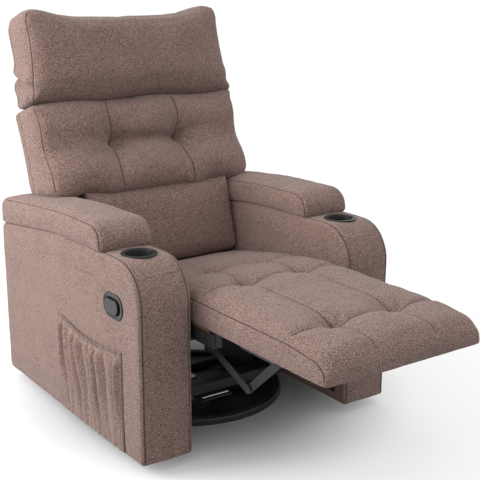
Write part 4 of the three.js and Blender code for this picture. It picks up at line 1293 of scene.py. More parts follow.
@dataclass(frozen=True)
class Wave:
    """One smooth rise of a face or an edge, or a fall where its height is below zero.

    Attributes:
        height: How far it rises at its middle.
        spread: How far from its middle it fades.
        at: Where its middle is.
    """

    height: float
    spread: float
    at: float = 0.0

    def over(self, value: np.ndarray) -> np.ndarray:
        """Its rise at each value."""
        return self.height * np.exp(-(((value - self.at) / self.spread) ** 2))


@dataclass(frozen=True)
class Ripple:
    """A row of even waves.

    Attributes:
        height: How far each rises.
        turns: Radians that it runs through over a distance of 1.
        start: Radians at 0.
    """

    height: float
    turns: float
    start: float = 0.0

    def over(self, value: np.ndarray) -> np.ndarray:
        """Its rise at each value."""
        return self.height * np.sin(self.turns * value + self.start)


@dataclass(frozen=True)
class Tuft:
    """A point where a cover is drawn in, with folds that run out from it.

    Attributes:
        pit: Depth of its narrow pit.
        reach: How far from the tuft the pit fades.
        hollow: The wide hollow round it.
        pucker: Height of its folds.
        folds: Number of its folds.
        fold_reach: How far the folds run.
        squash_share: How much of a distance along the piece counts in the hollow.
        fade_share: How many times their reach the folds last.
    """

    pit: float
    reach: float
    hollow: Wave
    pucker: float
    folds: int
    fold_reach: float
    squash_share: float = 1.0
    fade_share: float = 3.0

    def over(self, across: np.ndarray, along: np.ndarray) -> np.ndarray:
        """Its relief at each distance across and along the piece.

        Args:
            across: Distance from the tuft across the piece.
            along: Distance from the tuft along the piece.

        Returns:
            The height at each point.
        """
        distance = np.hypot(across, along)
        turn = np.cos(self.folds * np.arctan2(along, across))
        fold = turn * distance / self.fold_reach * np.exp(1 - distance / self.fold_reach)
        fold *= np.exp(-((distance / (self.fade_share * self.fold_reach)) ** 2))
        hollow = self.hollow.over(np.hypot(across, self.squash_share * along))
        return hollow - self.pit * np.exp(-distance / self.reach) + self.pucker * fold


@dataclass(frozen=True)
class Uneven:
    """Gentle unevenness of a padded face: its height, the width of one wave and its seed."""

    height: float
    size: float
    seed: float

    def over(self, points: np.ndarray) -> np.ndarray:
        """Its rise at each point."""
        return self.height * waviness(points, self.size, self.seed)


@dataclass
class BackPiece:
    """An upholstered piece of the back, in the back's own frame: x across, y up along it, z forward.

    Attributes:
        name: Name of the piece.
        node: The solid that it stands for.
        seed: What makes its unevenness its own.
        half: Half its width.
        low: Its lower end.
        high: Its upper end.
        rear: Where its rear face lies.
        front: Where its front face lies.
        rim_rear: Rounding round its rear face.
        rim_front: Rounding round its front face.
        corners: Radii of its lower and its upper corners.
        fill: How full it is, or 0 for a plain panel; it is not used.
        swelling: Cloth simulation, if it gets one.
        step: Usual distance between its cuts.
        round_steps: Number of cuts across each rounded edge.
        taper: How much half its width shrinks upwards.
        waist_share: How much its sides draw in between its ends.
        front_share: How much narrower its front face is.
        rise_from_share: How far back its face's form reaches.
        seam_inset: How far its seams lie from its outline.
        seam_margin: How much farther in a point of a side seam may lie.
        seam_depth: How deep its seams are drawn in.
    """

    name: str
    node: str
    seed: float
    half: float
    low: float
    high: float
    rear: float
    front: float
    rim_rear: Rim
    rim_front: Rim
    corners: tuple[float, float]
    fill: float = 0.0
    swelling: Swelling | None = None
    step: float = 0.009
    round_steps: int = 3
    taper: float = 0.0
    waist_share: float = 0.0
    front_share: float = 0.0
    rise_from_share: float = -1.0
    seam_inset: float = 0.006
    seam_margin: float = 0.0005
    seam_depth: float = 0.003

    def build(self, maker: Upholsterer, place: Matrix) -> None:
        """Build the piece on the back.

        Args:
            maker: Who covers it.
            place: Where the back's frame lies in the chair.
        """
        block = SoftBlock(
            low=Vector((-self.half, self.low, self.rear)),
            high=Vector((self.half, self.high, self.front)),
            face_axis=2,
            rim_low=self.rim_rear,
            rim_high=self.rim_front,
            corners=four_corners(*self.corners),
            step=self.step,
            round_steps=self.round_steps,
        )
        block.lines += self.lines(block)
        piece = maker.cover(
            self.name, block, lambda flat, point: self.sculpt(block, flat, point), place, self.swelling,
            lambda flat: block.on_panel(flat, -1), seed=self.seed,
        )
        settle(piece, "backrest", self.node)

    def lines(self, block: SoftBlock) -> list[SewnLine]:
        """Its sewn lines; a plain panel has none."""
        return []

    def side_seams(self, block: SoftBlock) -> SewnLine:
        """The boxing seams up both sides of a cushion's front face.

        Args:
            block: The cushion's block.

        Returns:
            The line.
        """
        edge = self.half - self.seam_inset - self.seam_margin

        def sides(flat: np.ndarray) -> np.ndarray:
            """Which points lie near a side of the front face."""
            return block.on_panel(flat, 1) & (np.abs(flat[:, 0]) > edge)

        return SewnLine(Track.RING, self.seam_inset, sides, self.seam_depth, (1,))

    def sculpt(self, block: SoftBlock, flat: np.ndarray, point: np.ndarray) -> np.ndarray:
        """Shape the face, the sides and the outline.

        Args:
            block: The piece's block.
            flat: Points of the cut block.
            point: The same points, rounded.

        Returns:
            The shaped points.
        """
        _, y, z = block.shares(flat).T
        point[:, 0] += self.bow(block, flat)
        point[:, 2] += ramp(z, self.rise_from_share, 1.0) * self.relief(block, flat)
        point[:, 0] *= 1 - self.taper / self.half * self.tapered(y)
        point[:, 0] *= 1 - self.waist_share * (1 - y**2) - self.front_share * ramp(z, -1.0, 1.0)
        self.hang(block, flat, point)
        self.outline(block, flat, point)
        return point

    def bow(self, block: SoftBlock, flat: np.ndarray) -> np.ndarray | float:
        """How far points of the face move sideways."""
        return 0.0

    def relief(self, block: SoftBlock, flat: np.ndarray) -> np.ndarray | float:
        """How far points of the face come forward."""
        return 0.0

    def tapered(self, along: np.ndarray) -> np.ndarray:
        """How much of the taper is reached at each share of the height."""
        return along

    def hang(self, block: SoftBlock, flat: np.ndarray, point: np.ndarray) -> None:
        """Shape the ends of the piece itself."""

    def outline(self, block: SoftBlock, flat: np.ndarray, point: np.ndarray) -> None:
        """Shape the ends that the piece shares with its rear cover."""


@dataclass
class LumbarCushion(BackPiece):
    """Lumbar cushion, low between the arms."""

    name: str = "lumbar_pillow"
    node: str = "lumbar_cushion"
    seed: float = 1.0
    half: float = 0.2585
    low: float = 0.030
    high: float = 0.280
    rear: float = 0.112
    front: float = 0.2375
    rim_rear: Rim = Rim.even(0.006)
    rim_front: Rim = Rim(0.007, 0.007, 0.022, 0.034)
    corners: tuple[float, float] = (0.020, 0.006)
    fill: float = 0.8
    swelling: Swelling | None = Swelling(cap=0.003)
    waist_share: float = 0.003
    rise_from_share: float = -0.6
    crown: float = 0.013
    lean: float = 0.010
    uneven: Uneven = Uneven(0.006, 0.14, 8.0)
    seam_back: float = 0.016

    def lines(self, block: SoftBlock) -> list[SewnLine]:
        """One seam round the boxing."""
        return [SewnLine(Track.Z, self.front - self.seam_back, block.on_strip, self.seam_depth, (-1,))]

    def relief(self, block: SoftBlock, flat: np.ndarray) -> np.ndarray:
        """Crown of the face, which leans forward at its top.

        Args:
            block: The cushion's block.
            flat: Points of the cut block.

        Returns:
            The height at each point.
        """
        x, y, _ = block.shares(flat).T
        height = self.crown * (1 - x**4) * (1 - y**2) + self.lean * y
        return height + self.uneven.over(flat) * (1 - y**2) * (1 - x**2)


@dataclass
class MiddleCushion(BackPiece):
    """Middle cushion, with two tufts on two lengthwise seams and a crease between them."""

    name: str = "middle_pillow"
    node: str = "middle_cushion"
    seed: float = 2.0
    half: float = 0.371
    low: float = 0.286
    high: float = 0.570
    rear: float = 0.112
    front: float = 0.209
    rim_rear: Rim = Rim.even(0.006)
    rim_front: Rim = Rim(0.034, 0.034, 0.026, 0.020)
    corners: tuple[float, float] = (0.026, 0.016)
    fill: float = 0.75
    swelling: Swelling | None = Swelling(cap=0.003)
    step: float = 0.0065
    taper: float = -0.0025
    waist_share: float = 0.006
    front_share: float = 0.012
    rise_from_share: float = -0.3
    tuft_x: float = 0.119
    tuft_y: float = 0.428
    tuft: Tuft = Tuft(0.034, 0.020, Wave(-0.015, 0.062), 0.0042, 7, 0.022, squash_share=0.8)
    line_depth: float = 0.0025
    # Painted shade along the lengthwise seams, as a share of the full seam shade.
    line_tone_share: float = 0.9
    groove: Wave = Wave(-0.003, 0.006)
    valley: Wave = Wave(-0.005, 0.030)
    crown: float = 0.024
    ridge: Wave = Wave(0.008, 0.07)
    crease: Wave = Wave(-0.024, 0.13)
    crease_share: float = 0.7
    crease_end: float = 0.03
    above: Wave = Wave(0.010, 0.30, 0.50)
    below: Wave = Wave(0.014, 0.36, -0.60)
    side_crease: Wave = Wave(-0.005, 0.11)
    side_place: Wave = Wave(1.0, 0.2, 0.45)
    side_lift_share: float = 0.12
    side_start: float = 0.05
    seam_bow: Wave = Wave(0.014, 0.05)
    bow_above: Wave = Wave(0.5, 0.3, 0.55)
    bow_below: Wave = Wave(1.0, 0.45, -0.75)
    lip: float = 0.019
    lip_swell: float = 0.018
    uneven: Uneven = Uneven(0.004, 0.12, 12.0)
    sag: float = 0.024
    sag_corner: float = 0.016
    sag_corner_share: float = 0.86
    sag_waves: tuple[Wave, ...] = (
        Wave(0.003, 0.12, -0.44),
        Wave(-0.014, 0.14, -0.68),
        Wave(0.006, 0.08, 0.36),
        Wave(-0.010, 0.13, 0.62),
    )
    sag_shares: tuple[float, float] = (-0.2, 0.8)
    end_share: float = 0.3
    top_ripple: Ripple = Ripple(0.004, 7.5)

    def lines(self, block: SoftBlock) -> list[SewnLine]:
        """The boxing seams, and a lengthwise seam through each tuft.

        Args:
            block: The piece's block.

        Returns:
            The lines.
        """

        def face(flat: np.ndarray) -> np.ndarray:
            """Which points lie on the front face."""
            return block.on_panel(flat, 1)

        # The lengthwise seams get painted shade in their grooves from this share.
        look = (face, self.line_depth, (), self.line_tone_share)
        lengthwise = [SewnLine(Track.X, side.value * self.tuft_x, *look) for side in Side]
        return [self.side_seams(block), *lengthwise]

    def above_tuft(self, block: SoftBlock, flat: np.ndarray) -> np.ndarray:
        """How far points lie above the tufts, as shares of half the height."""
        tuft = (self.tuft_y - self.low) / (self.high - self.low) * 2 - 1
        return block.shares(flat)[:, 1] - tuft

    def bow(self, block: SoftBlock, flat: np.ndarray) -> np.ndarray:
        """How the lengthwise seams bow outwards above and below their tufts.

        Args:
            block: The cushion's block.
            flat: Points of the cut block.

        Returns:
            The sideways move of each point.
        """
        up = self.above_tuft(block, flat)
        ends = self.bow_above.over(up) + self.bow_below.over(up)
        off = [side.value * self.seam_bow.over(flat[:, 0] - side.value * self.tuft_x) for side in Side]
        return np.where(block.on_panel(flat, 1), sum(off) * ends, 0)

    def relief(self, block: SoftBlock, flat: np.ndarray) -> np.ndarray:
        """Crown of the face, its tufts, seams and creases, and its full lower lip.

        Args:
            block: The cushion's block.
            flat: Points of the cut block.

        Returns:
            The height at each point.
        """
        x, y, _ = block.shares(flat).T
        up = self.above_tuft(block, flat)
        aside = np.abs(flat[:, 0])
        between = 1 - ramp(aside, self.tuft_x * self.crease_share, self.tuft_x + self.crease_end)
        outside = ramp(aside, self.tuft_x, self.tuft_x + self.side_start)
        height = self.crown * (1 - x**6) * (1 - np.abs(y) ** 3)
        height += self.ridge.over(flat[:, 0]) * (1 - y**2)
        height += self.crease.over(up) * between + self.above.over(up) + self.below.over(up)
        crease = self.side_crease.over(up - self.side_lift_share * outside)
        height += crease * outside * self.side_place.over(np.abs(x))
        for side in Side:
            off = flat[:, 0] - side.value * self.tuft_x
            height += (self.groove.over(off) + self.valley.over(off)) * (1 - y**8)
            height += self.tuft.over(off, flat[:, 1] - self.tuft_y)
        height += ramp(-y, 0.0, 1.0) * (self.lip + self.lip_swell * (1 - x**8))
        return height + self.uneven.over(flat) * (1 - y**2)

    def hang(self, block: SoftBlock, flat: np.ndarray, point: np.ndarray) -> None:
        """Let the lower lip sag unevenly and ripple the top.

        Args:
            block: Its block.
            flat: Points of the cut block.
            point: The same points, which are moved.
        """
        x, y, z = block.shares(flat).T
        sag = self.sag - self.sag_corner * ramp(np.abs(x), self.sag_corner_share, 1.0)
        sag += sum(wave.over(x) for wave in self.sag_waves)
        point[:, 1] -= ramp(-y, self.end_share, 1.0) * ramp(z, *self.sag_shares) * sag
        point[:, 1] += ramp(y, self.end_share, 1.0) * self.top_ripple.over(x)


@dataclass
class HeadCushion(BackPiece):
    """Head cushion, dipped along its top and swelling over the middle cushion."""

    name: str = "head_pillow"
    node: str = "head_cushion"
    seed: float = 3.0
    half: float = 0.370
    low: float = 0.570
    high: float = 0.868
    rear: float = 0.112
    front: float = 0.200
    rim_rear: Rim = Rim.even(0.006)
    rim_front: Rim = Rim(0.030, 0.030, 0.024, 0.044)
    corners: tuple[float, float] = (0.018, 0.058)
    fill: float = 0.75
    swelling: Swelling | None = Swelling(cap=0.003)
    step: float = 0.008
    taper: float = 0.010
    waist_share: float = 0.028
    front_share: float = 0.006
    base: float = 0.013
    lean: float = 0.021
    crown: float = 0.034
    chin: Wave = Wave(0.012, 0.36, -0.62)
    uneven: Uneven = Uneven(0.005, 0.16, 17.0)
    hem_ripple: Ripple = Ripple(0.004, 6.0, 0.6)
    hem_corner: Wave = Wave(-0.004, 0.12, 0.97)
    top_dip: float = 0.033
    dip_power: float = 2.5
    dip_round: float = 3.2
    top_peak: Wave = Wave(0.010, 0.18, 0.80)
    gusset_share: float = 0.93
    gusset_shares: tuple[float, float] = (-0.30, 0.05)
    gusset_fade: float = 0.030
    gusset_fade_share: float = 0.8
    fold_up: float = 0.075
    fold_back: float = 0.03
    fold_slant_share: float = 0.75
    folds: tuple[Wave, ...] = (
        Wave(0.010, 0.016, 0.022),
        Wave(-0.012, 0.010, -0.003),
        Wave(0.009, 0.018, -0.032),
    )

    def lines(self, block: SoftBlock) -> list[SewnLine]:
        """The boxing seams."""
        return [self.side_seams(block)]

    def tapered(self, along: np.ndarray) -> np.ndarray:
        """The taper starts at the lower end."""
        return (along + 1) / 2

    def relief(self, block: SoftBlock, flat: np.ndarray) -> np.ndarray:
        """Crown of the face, fuller at its chin and leaning forward at its top.

        Args:
            block: The cushion's block.
            flat: Points of the cut block.

        Returns:
            The height at each point.
        """
        x, y, _ = block.shares(flat).T
        height = self.base + self.lean * self.tapered(y)
        height += self.crown * (1 - x**4) * (1 - y**2) + self.chin.over(y) * (1 - x**6)
        return height + self.uneven.over(flat) * (1 - y**2)

    def hang(self, block: SoftBlock, flat: np.ndarray, point: np.ndarray) -> None:
        """Ripple the lower edge.

        Args:
            block: Its block.
            flat: Points of the cut block.
            point: The same points, which are moved.
        """
        x, y, _ = block.shares(flat).T
        ripple = self.hem_ripple.over(x) + self.hem_corner.over(np.abs(x))
        point[:, 1] += (1 - self.tapered(y)) ** 4 * ripple

    def outline(self, block: SoftBlock, flat: np.ndarray, point: np.ndarray) -> None:
        """Dip the top between two peaks, and crumple the gussets where they press on the cushion below.

        Args:
            block: Block of the cushion or of its rear cover.
            flat: Points of the cut block.
            point: The same points, which are moved.
        """
        x, y, _ = block.shares(flat).T
        up = self.tapered(y)
        dip = self.top_dip * up**self.dip_power * (1 - np.abs(x) ** self.dip_round)
        point[:, 1] += up**3 * self.top_peak.over(np.abs(x)) - dip
        gusset = ramp(np.abs(x), self.gusset_share, 1.0) * (1 - ramp(y, *self.gusset_shares))
        calm = ramp(flat[:, 2], self.front - self.gusset_fade, self.front)
        gusset *= 1 - self.gusset_fade_share * calm
        slant = flat[:, 1] - self.low - self.fold_up
        slant += self.fold_slant_share * (flat[:, 2] - self.rear - self.fold_back)
        point[:, 0] += np.sign(x) * gusset * sum(fold.over(slant) for fold in self.folds)


@dataclass
class RearCover(BackPiece):
    """Padded cover behind a cushion, which follows the cushion's sides and outline."""

    cushion: BackPiece | None = None
    fill: float = 0.6
    bulge: float = 0.007
    seam_inset: float = 0.005
    seam_depth: float = 0.0025

    def lines(self, block: SoftBlock) -> list[SewnLine]:
        """One seam round the rear face.

        Args:
            block: The piece's block.

        Returns:
            The lines.
        """

        def rear(flat: np.ndarray) -> np.ndarray:
            """Which points lie on the rear face."""
            return block.on_panel(flat, -1)

        return [SewnLine(Track.RING, self.seam_inset, rear, self.seam_depth)]

    def sculpt(self, block: SoftBlock, flat: np.ndarray, point: np.ndarray) -> np.ndarray:
        """Swell the rear face and follow the cushion.

        Args:
            block: The cover's block.
            flat: Points of the cut block.
            point: The same points, rounded.

        Returns:
            The shaped points.
        """
        x, y, z = block.shares(flat).T
        point[:, 2] -= ramp(-z, -1.0, 1.0) * self.bulge * (1 - x**4) * (1 - y**4)
        point[:, 0] *= 1 - self.cushion.taper / self.half * self.cushion.tapered(y)
        point[:, 0] *= 1 - self.cushion.waist_share * (1 - y**2)
        self.cushion.outline(block, flat, point)
        return point


@dataclass
class MiddleCover(RearCover):
    """Padded cover behind the middle cushion."""

    side_gap = 0.001
    low_gap = 0.006
    high_gap = 0.003
    name: str = "middle_rear_cover"
    node: str = "middle_back_cover"
    seed: float = 21.0
    half: float = MiddleCushion.half - side_gap
    low: float = MiddleCushion.low + low_gap
    high: float = MiddleCushion.high - high_gap
    rear: float = 0.066
    front: float = MiddleCushion.rear
    rim_rear: Rim = Rim.even(0.024)
    rim_front: Rim = Rim.even(0.004)
    corners: tuple[float, float] = (0.034, 0.016)
    cushion: BackPiece = field(default_factory=MiddleCushion)


@dataclass
class HeadCover(RearCover):
    """Padded cover behind the head cushion."""

    side_gap = 0.001
    end_gap = 0.004
    name: str = "head_rear_cover"
    node: str = "head_back_cover"
    seed: float = 33.0
    half: float = HeadCushion.half - side_gap
    low: float = HeadCushion.low + end_gap
    high: float = HeadCushion.high - end_gap
    rear: float = 0.096
    front: float = HeadCushion.rear
    rim_rear: Rim = Rim.even(0.012)
    rim_front: Rim = Rim.even(0.003)
    corners: tuple[float, float] = (0.018, 0.056)
    cushion: BackPiece = field(default_factory=HeadCushion)
    bulge: float = 0.008


@dataclass
class LowerPanel(BackPiece):
    """Upholstered panel that closes the back between the arms."""

    name: str = "lower_back_cover"
    node: str = "lower_back_panel"
    seed: float = 4.0
    half: float = 0.209
    low: float = -0.030
    high: float = 0.312
    rear: float = 0.1017
    front: float = 0.1197
    rim_rear: Rim = Rim.even(0.006)
    rim_front: Rim = Rim.even(0.003)
    corners: tuple[float, float] = (0.012, 0.012)
    step: float = 0.014
    round_steps: int = 2


@dataclass
class Backrest:
    """The back with its cushions, their rear covers and the panel below them."""

    tilt: float = math.radians(18.6)

    def build(self, maker: Upholsterer) -> None:
        """Build every piece of the back at its pivot.

        Args:
            maker: Who covers the pieces.
        """
        pivot = next(joint["pos_m"] for joint in frame["joints"] if joint["name"] == "recline")
        up = Vector((0, math.sin(self.tilt), math.cos(self.tilt)))
        out = Vector((0, -math.cos(self.tilt), math.sin(self.tilt)))
        turn = Matrix((Vector((1, 0, 0)), up, out)).transposed().to_4x4()
        place = Matrix.Translation(Vector(pivot)) @ turn
        for kind in (LumbarCushion, MiddleCushion, HeadCushion, MiddleCover, HeadCover, LowerPanel):
            kind().build(maker, place)


@dataclass
class Chaise:
    """One padded cover over the seat and the footrest.

    Its top panel wraps over the front; a boxing seam joins it to each side panel.
    """

    half: float = 0.250
    rear: float = 0.104
    front: float = -0.972
    low: float = 0.3915
    edge_height: float = 0.076
    side_round: float = 0.024
    foot_round: float = 0.004
    nose_round: float = 0.050
    nose_foot_round: float = 0.014
    rear_round: float = 0.026
    rear_foot_round: float = 0.008
    step: float = 0.0078
    seam_inset: float = 0.013
    seam_depth: float = 0.003
    channel_depth: float = 0.0015
    channel_start: float = 0.004
    # Painted shade along the cross rows and the lengthwise seams, as shares of the full seam shade.
    row_tone_share: float = 0.8
    column_tone_share: float = 0.7
    rows: tuple[float, float, float] = (-0.250, -0.440, -0.815)
    columns: tuple[float, float, float] = (0.085, 0.095, 0.098)
    column: float = 0.095
    bend: float = 0.045
    fill: float = 0.8
    swelling: Swelling = Swelling(cap=0.003)
    seed: float = 6.0
    rise_from_share: float = -0.6
    fall_from: float = -0.45
    rear_fall: float = 0.0735
    fall_power: float = 1.7
    seat_crown: float = 0.018
    leg_crown: float = 0.012
    knee: tuple[float, float] = (-0.60, -0.52)
    nose_fall: float = 0.014
    nose_length: float = 0.17
    nose_tuck: float = 0.05
    nose_swell: float = 0.004
    pillow: float = 0.010
    pillow_share: float = 0.5
    span_power: float = 2.5
    row_groove: Wave = Wave(-0.005, 0.009)
    column_groove: Wave = Wave(-0.0025, 0.006)
    column_valley: Wave = Wave(-0.002, 0.03)
    column_fade: float = 0.02
    tuft: Tuft = Tuft(0.020, 0.020, Wave(-0.010, 0.050), 0.0040, 6, 0.021)
    uneven: Uneven = Uneven(0.003, 0.11, 40.0)
    even_nose: tuple[float, float] = (0.04, 0.14)

    def build(self, maker: Upholsterer) -> None:
        """Build the cover with its stitches and bake them where they lie.

        Args:
            maker: Who covers it.
        """
        block = self.block()
        piece = maker.cover(
            "chaise_cover", block, lambda flat, point: self.sculpt(block, flat, point), None,
            self.swelling, lambda flat: flat[:, 2] < self.low + TINY, seed=self.seed,
        )
        flattened(piece)
        keep_place(piece)
        hinge = next(joint["pos_m"] for joint in frame["joints"] if joint["name"] == "footrest_fold")
        pieces = [piece, *piece.children]
        for part in pieces:
            part.parent = None
        for part in pieces:
            hinge[1] + self.bend
            hinge[1] - self.bend
            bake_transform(part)
        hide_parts("seat_cushion", "footrest_cushion")
        LOG.info("made %s", piece.name)

    def block(self) -> SoftBlock:
        """The block of the cover, with its channels and seams.

        Returns:
            The block.
        """
        rim = Rim(self.side_round, self.side_round, self.foot_round, self.side_round)
        block = SoftBlock(
            low=Vector((-self.half, self.front, self.low)),
            high=Vector((self.half, self.rear, self.low + self.edge_height)),
            face_axis=0,
            rim_low=rim,
            rim_high=rim,
            corners={
                (-1, -1): self.nose_foot_round,
                (1, -1): self.rear_foot_round,
                (1, 1): self.rear_round,
                (-1, 1): self.nose_round,
            },
            step=self.step,
        )
        top = block.high.z - TINY
        limit = self.half - self.side_round
        start = self.rows[0] + self.channel_start
        boxing = self.low + self.seam_inset + TINY
        depth = self.channel_depth

        def across(flat: np.ndarray) -> np.ndarray:
            """Where the cross channels run: over the top, short of its edges."""
            return (flat[:, 2] > top) & (np.abs(flat[:, 0]) < limit)

        def lengthwise(flat: np.ndarray) -> np.ndarray:
            """Where the lengthwise seams run: over the top, from the rear row to the front."""
            return (flat[:, 2] > top) & (flat[:, 1] < start)

        def edges(flat: np.ndarray) -> np.ndarray:
            """Where the boxing seams run: along the side panels, save their lower edges."""
            return block.on_panel(flat) & (flat[:, 2] > boxing)

        # Rows and lengthwise seams get painted shade in their grooves from these shares.
        for row in self.rows:
            block.lines.append(SewnLine(Track.Y, row, across, depth, (), self.row_tone_share))
        for side in Side:
            column = side.value * self.column
            block.lines.append(SewnLine(Track.X, column, lengthwise, depth, (), self.column_tone_share))
        block.lines.append(SewnLine(Track.RING, self.seam_inset, edges, self.seam_depth, (-1,)))
        return block

    def sculpt(self, block: SoftBlock, flat: np.ndarray, point: np.ndarray) -> np.ndarray:
        """Let the seat fall to its rear, and crown the cover between its channels and tufts.

        Args:
            block: The cover's block.
            flat: Points of the cut block.
            point: The same points, rounded.

        Returns:
            The shaped points.
        """
        x, _, z = block.shares(flat).T
        along = flat[:, 1]
        edge = 1 - x**6
        seat = ramp(along, *self.knee)
        back = np.clip((along - self.fall_from) / (self.rear - self.fall_from), 0, 1)
        kept = 1 - self.rear_fall / self.edge_height * back**self.fall_power
        point[:, 2] = self.low + (point[:, 2] - self.low) * kept
        height = (self.seat_crown * seat + self.leg_crown * (1 - seat)) * (1 - x**4)
        height -= self.nose_fall * ramp(-along, -self.front - self.nose_length, -self.front)
        height += self._pillows(flat) * edge
        height *= 1 - back
        height += self._tufting(flat, x)
        height += self.uneven.over(flat) * edge * ramp(along - self.front, *self.even_nose)
        point[:, 2] += ramp(z, self.rise_from_share, 1.0) * height
        nose = ramp(-along, -self.front - self.nose_tuck, -self.front)
        point[:, 1] -= self.nose_swell * nose * (1 - x**4) * (1 - z**2)
        return point

    def _pillows(self, flat: np.ndarray) -> np.ndarray:
        """How the cover swells between its rows; the last pillow runs on over the nose.

        Args:
            flat: Points of the cut block.

        Returns:
            The height at each point.
        """
        marks = (-self.half, -self.column, self.column, self.half)
        across = flat[:, 0]
        span = np.zeros(len(flat))
        for start, end in zip(marks, marks[1:]):
            share = 2 * (across - start) / (end - start) - 1
            swelled = 1 - np.abs(share) ** self.span_power
            span = np.where((across >= start) & (across <= end), swelled, span)
        along = flat[:, 1]
        height = np.zeros(len(flat))
        bounds = (self.rear, *self.rows, self.front)
        for near, far in zip(bounds, bounds[1:]):
            share = 2 * np.clip((along - far) / (near - far), 0, 1) - 1
            dome = 1 - (1 - self.pillow_share * span) * share**4
            last = far == self.front
            if last:
                dome = np.where(share < 0, 1, dome)
            height += self.pillow * dome * (along <= near) * (last | (along > far))
        return height

    def _tufting(self, flat: np.ndarray, x: np.ndarray) -> np.ndarray:
        """How the rows, the lengthwise seams and the tufts draw the cover in.

        Args:
            flat: Points of the cut block.
            x: The same points across, as shares of half the width.

        Returns:
            The height at each point.
        """
        height = np.zeros(len(flat))
        for row, column in zip(self.rows, self.columns):
            along = flat[:, 1] - row
            height += self.row_groove.over(along) * (1 - x**12)
            for side in Side:
                height += self.tuft.over(flat[:, 0] - side.value * column, along)
        fade = ramp(self.rows[0] - flat[:, 1], 0, self.column_fade)
        for side in Side:
            off = flat[:, 0] - side.value * self.column
            height += (self.column_groove.over(off) + self.column_valley.over(off)) * fade
        return height


@dataclass
class Arms:
    """Upholstered arms with their pads and their edge seams."""

    front_radius: float = 0.110
    foot_radius: float = 0.025
    rear_radius: float = 0.024
    low_front_radius: float = 0.006
    edge: float = 0.009
    step: float = 0.012
    round_steps: int = 2
    seam_depth: float = 0.0025
    swell: float = 0.004
    swell_fade: float = 0.045
    strip_crown: float = 0.0035
    slope_from: float = 0.020
    slope_fall: float = 0.049
    slope_to: float = 0.427
    slope_soft_share: float = 0.09
    seed: float = 10.0
    pad_rim: float = 0.018
    pad_foot: float = 0.006
    pad_corner: float = 0.010
    pad_front_radius: float = 0.056
    pad_rear_radius: float = 0.030
    pad_rear_rise: float = 0.009
    pad_crown: float = 0.004
    pad_swell: float = 0.004
    pad_swell_fade: float = 0.02
    pad_front_crown: float = 0.005
    pad_seam_inset: float = 0.003
    pad_seam_depth: float = 0.003
    pad_fill: float = 0.85
    pad_seed: float = 20.0
    pad_swelling: Swelling = Swelling(cap=0.004)
    cup_hole: float = 0.0415
    cup_segments: int = 64
    handle_inset: float = 0.0055
    handle_corner: float = 0.027
    handle_depth: float = 0.05
    handle_segments: int = 6
    flat_round_handle: tuple[float, float] = (0.055, 0.100)
    flat_at_plate: tuple[float, float] = (0.352, 0.400)

    def build(self, maker: Upholsterer) -> None:
        """Build both arms with their pads.

        Args:
            maker: Who covers them.
        """
        for side in Side:
            settle(self.arm(maker, side), "chair_frame", f"arm_cover_{side.label}")
            settle(self.pad(maker, side), "chair_frame", f"arm_pad_{side.label}")

    def drop(self, along: np.ndarray) -> np.ndarray:
        """How far the arm's upper face has fallen at a place along it.

        Args:
            along: Y of each place.

        Returns:
            The fall at each place.
        """
        share = (along - self.slope_from) / (self.slope_to - self.slope_from)
        soft = self.slope_soft_share * np.logaddexp(0, share / self.slope_soft_share)
        return np.minimum(soft, 2) * self.slope_fall

    def arm(self, maker: Upholsterer, side: Side) -> bpy.types.Object:
        """One arm, with holes for its cup holder and, on the right, its handle.

        Args:
            maker: Who covers it.
            side: Which arm.

        Returns:
            The arm.
        """
        low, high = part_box(f"arm_cover_{side.label}")
        block = SoftBlock(
            low=low,
            high=high,
            face_axis=0,
            rim_low=Rim.even(self.edge),
            rim_high=Rim.even(self.edge),
            corners={
                (-1, -1): self.low_front_radius,
                (1, -1): self.foot_radius,
                (1, 1): self.rear_radius,
                (-1, 1): self.front_radius,
            },
            step=self.step,
            round_steps=self.round_steps,
        )

        def strip(flat: np.ndarray) -> np.ndarray:
            """Where edge seams run: round the front, top and rear."""
            return block.on_strip(flat) & (flat[:, 2] > low.z + TINY)

        for place, row in ((low.x + self.edge, 1), (high.x - self.edge, -1)):
            block.lines.append(SewnLine(Track.X, place, strip, self.seam_depth, (row,)))
        handle = sum(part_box("handle_bezel"), Vector()) / 2
        outer = side.value

        def sculpt(flat: np.ndarray, point: np.ndarray) -> np.ndarray:
            """Slope the top, and swell the panels and the strip a little, save where parts lie flat.

            Args:
                flat: Points of the cut block.
                point: The same points, rounded.

            Returns:
                The shaped points.
            """
            across = block.shares(flat)[:, 0]
            up = (point[:, 2] - low.z) / (high.z - low.z)
            swell = self.swell * (1 - np.exp(-block.inset(flat) / self.swell_fade))
            inner = swell * ramp(point[:, 2], *self.flat_at_plate)
            if side is Side.RIGHT:
                away = np.hypot(point[:, 1] - handle.y, point[:, 2] - handle.z)
                swell = swell * ramp(away, *self.flat_round_handle)
            point[:, 0] += outer * np.where(block.on_panel(flat, outer), swell, 0)
            point[:, 0] -= outer * np.where(block.on_panel(flat, -outer), inner, 0)
            crown = np.where(block.on_strip(flat), self.strip_crown * (1 - across**2), 0)
            point[:, 1] -= crown * (flat[:, 1] < low.y + TINY)
            point[:, 2] += crown * (flat[:, 2] > high.z - TINY)
            point[:, 2] -= self.drop(point[:, 1]) * up
            return point

        piece = maker.cover(f"arm_{side.label}", block, sculpt, seed=self.seed + side.value)
        tools = [self._cup_tool(side)]
        if side is Side.RIGHT:
            tools.append(self._handle_tool())
        cut_holes(piece, tools)
        return piece

    def _cup_tool(self, side: Side) -> bpy.types.Object:
        """Cylinder for the hole of a cup holder.

        Args:
            side: Which arm it is for.

        Returns:
            The cylinder.
        """
        low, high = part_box(f"cup_holder_{side.label}")
        bm = bmesh.new()
        bmesh.ops.create_cone(
            bm, cap_ends=True, segments=self.cup_segments, radius1=self.cup_hole, radius2=self.cup_hole,
            depth=2 * (high.z - low.z), matrix=Matrix.Translation((low + high) / 2),
        )
        return add_object("cup_tool", mesh_of("cup_tool", bm), bpy.data.materials[0])

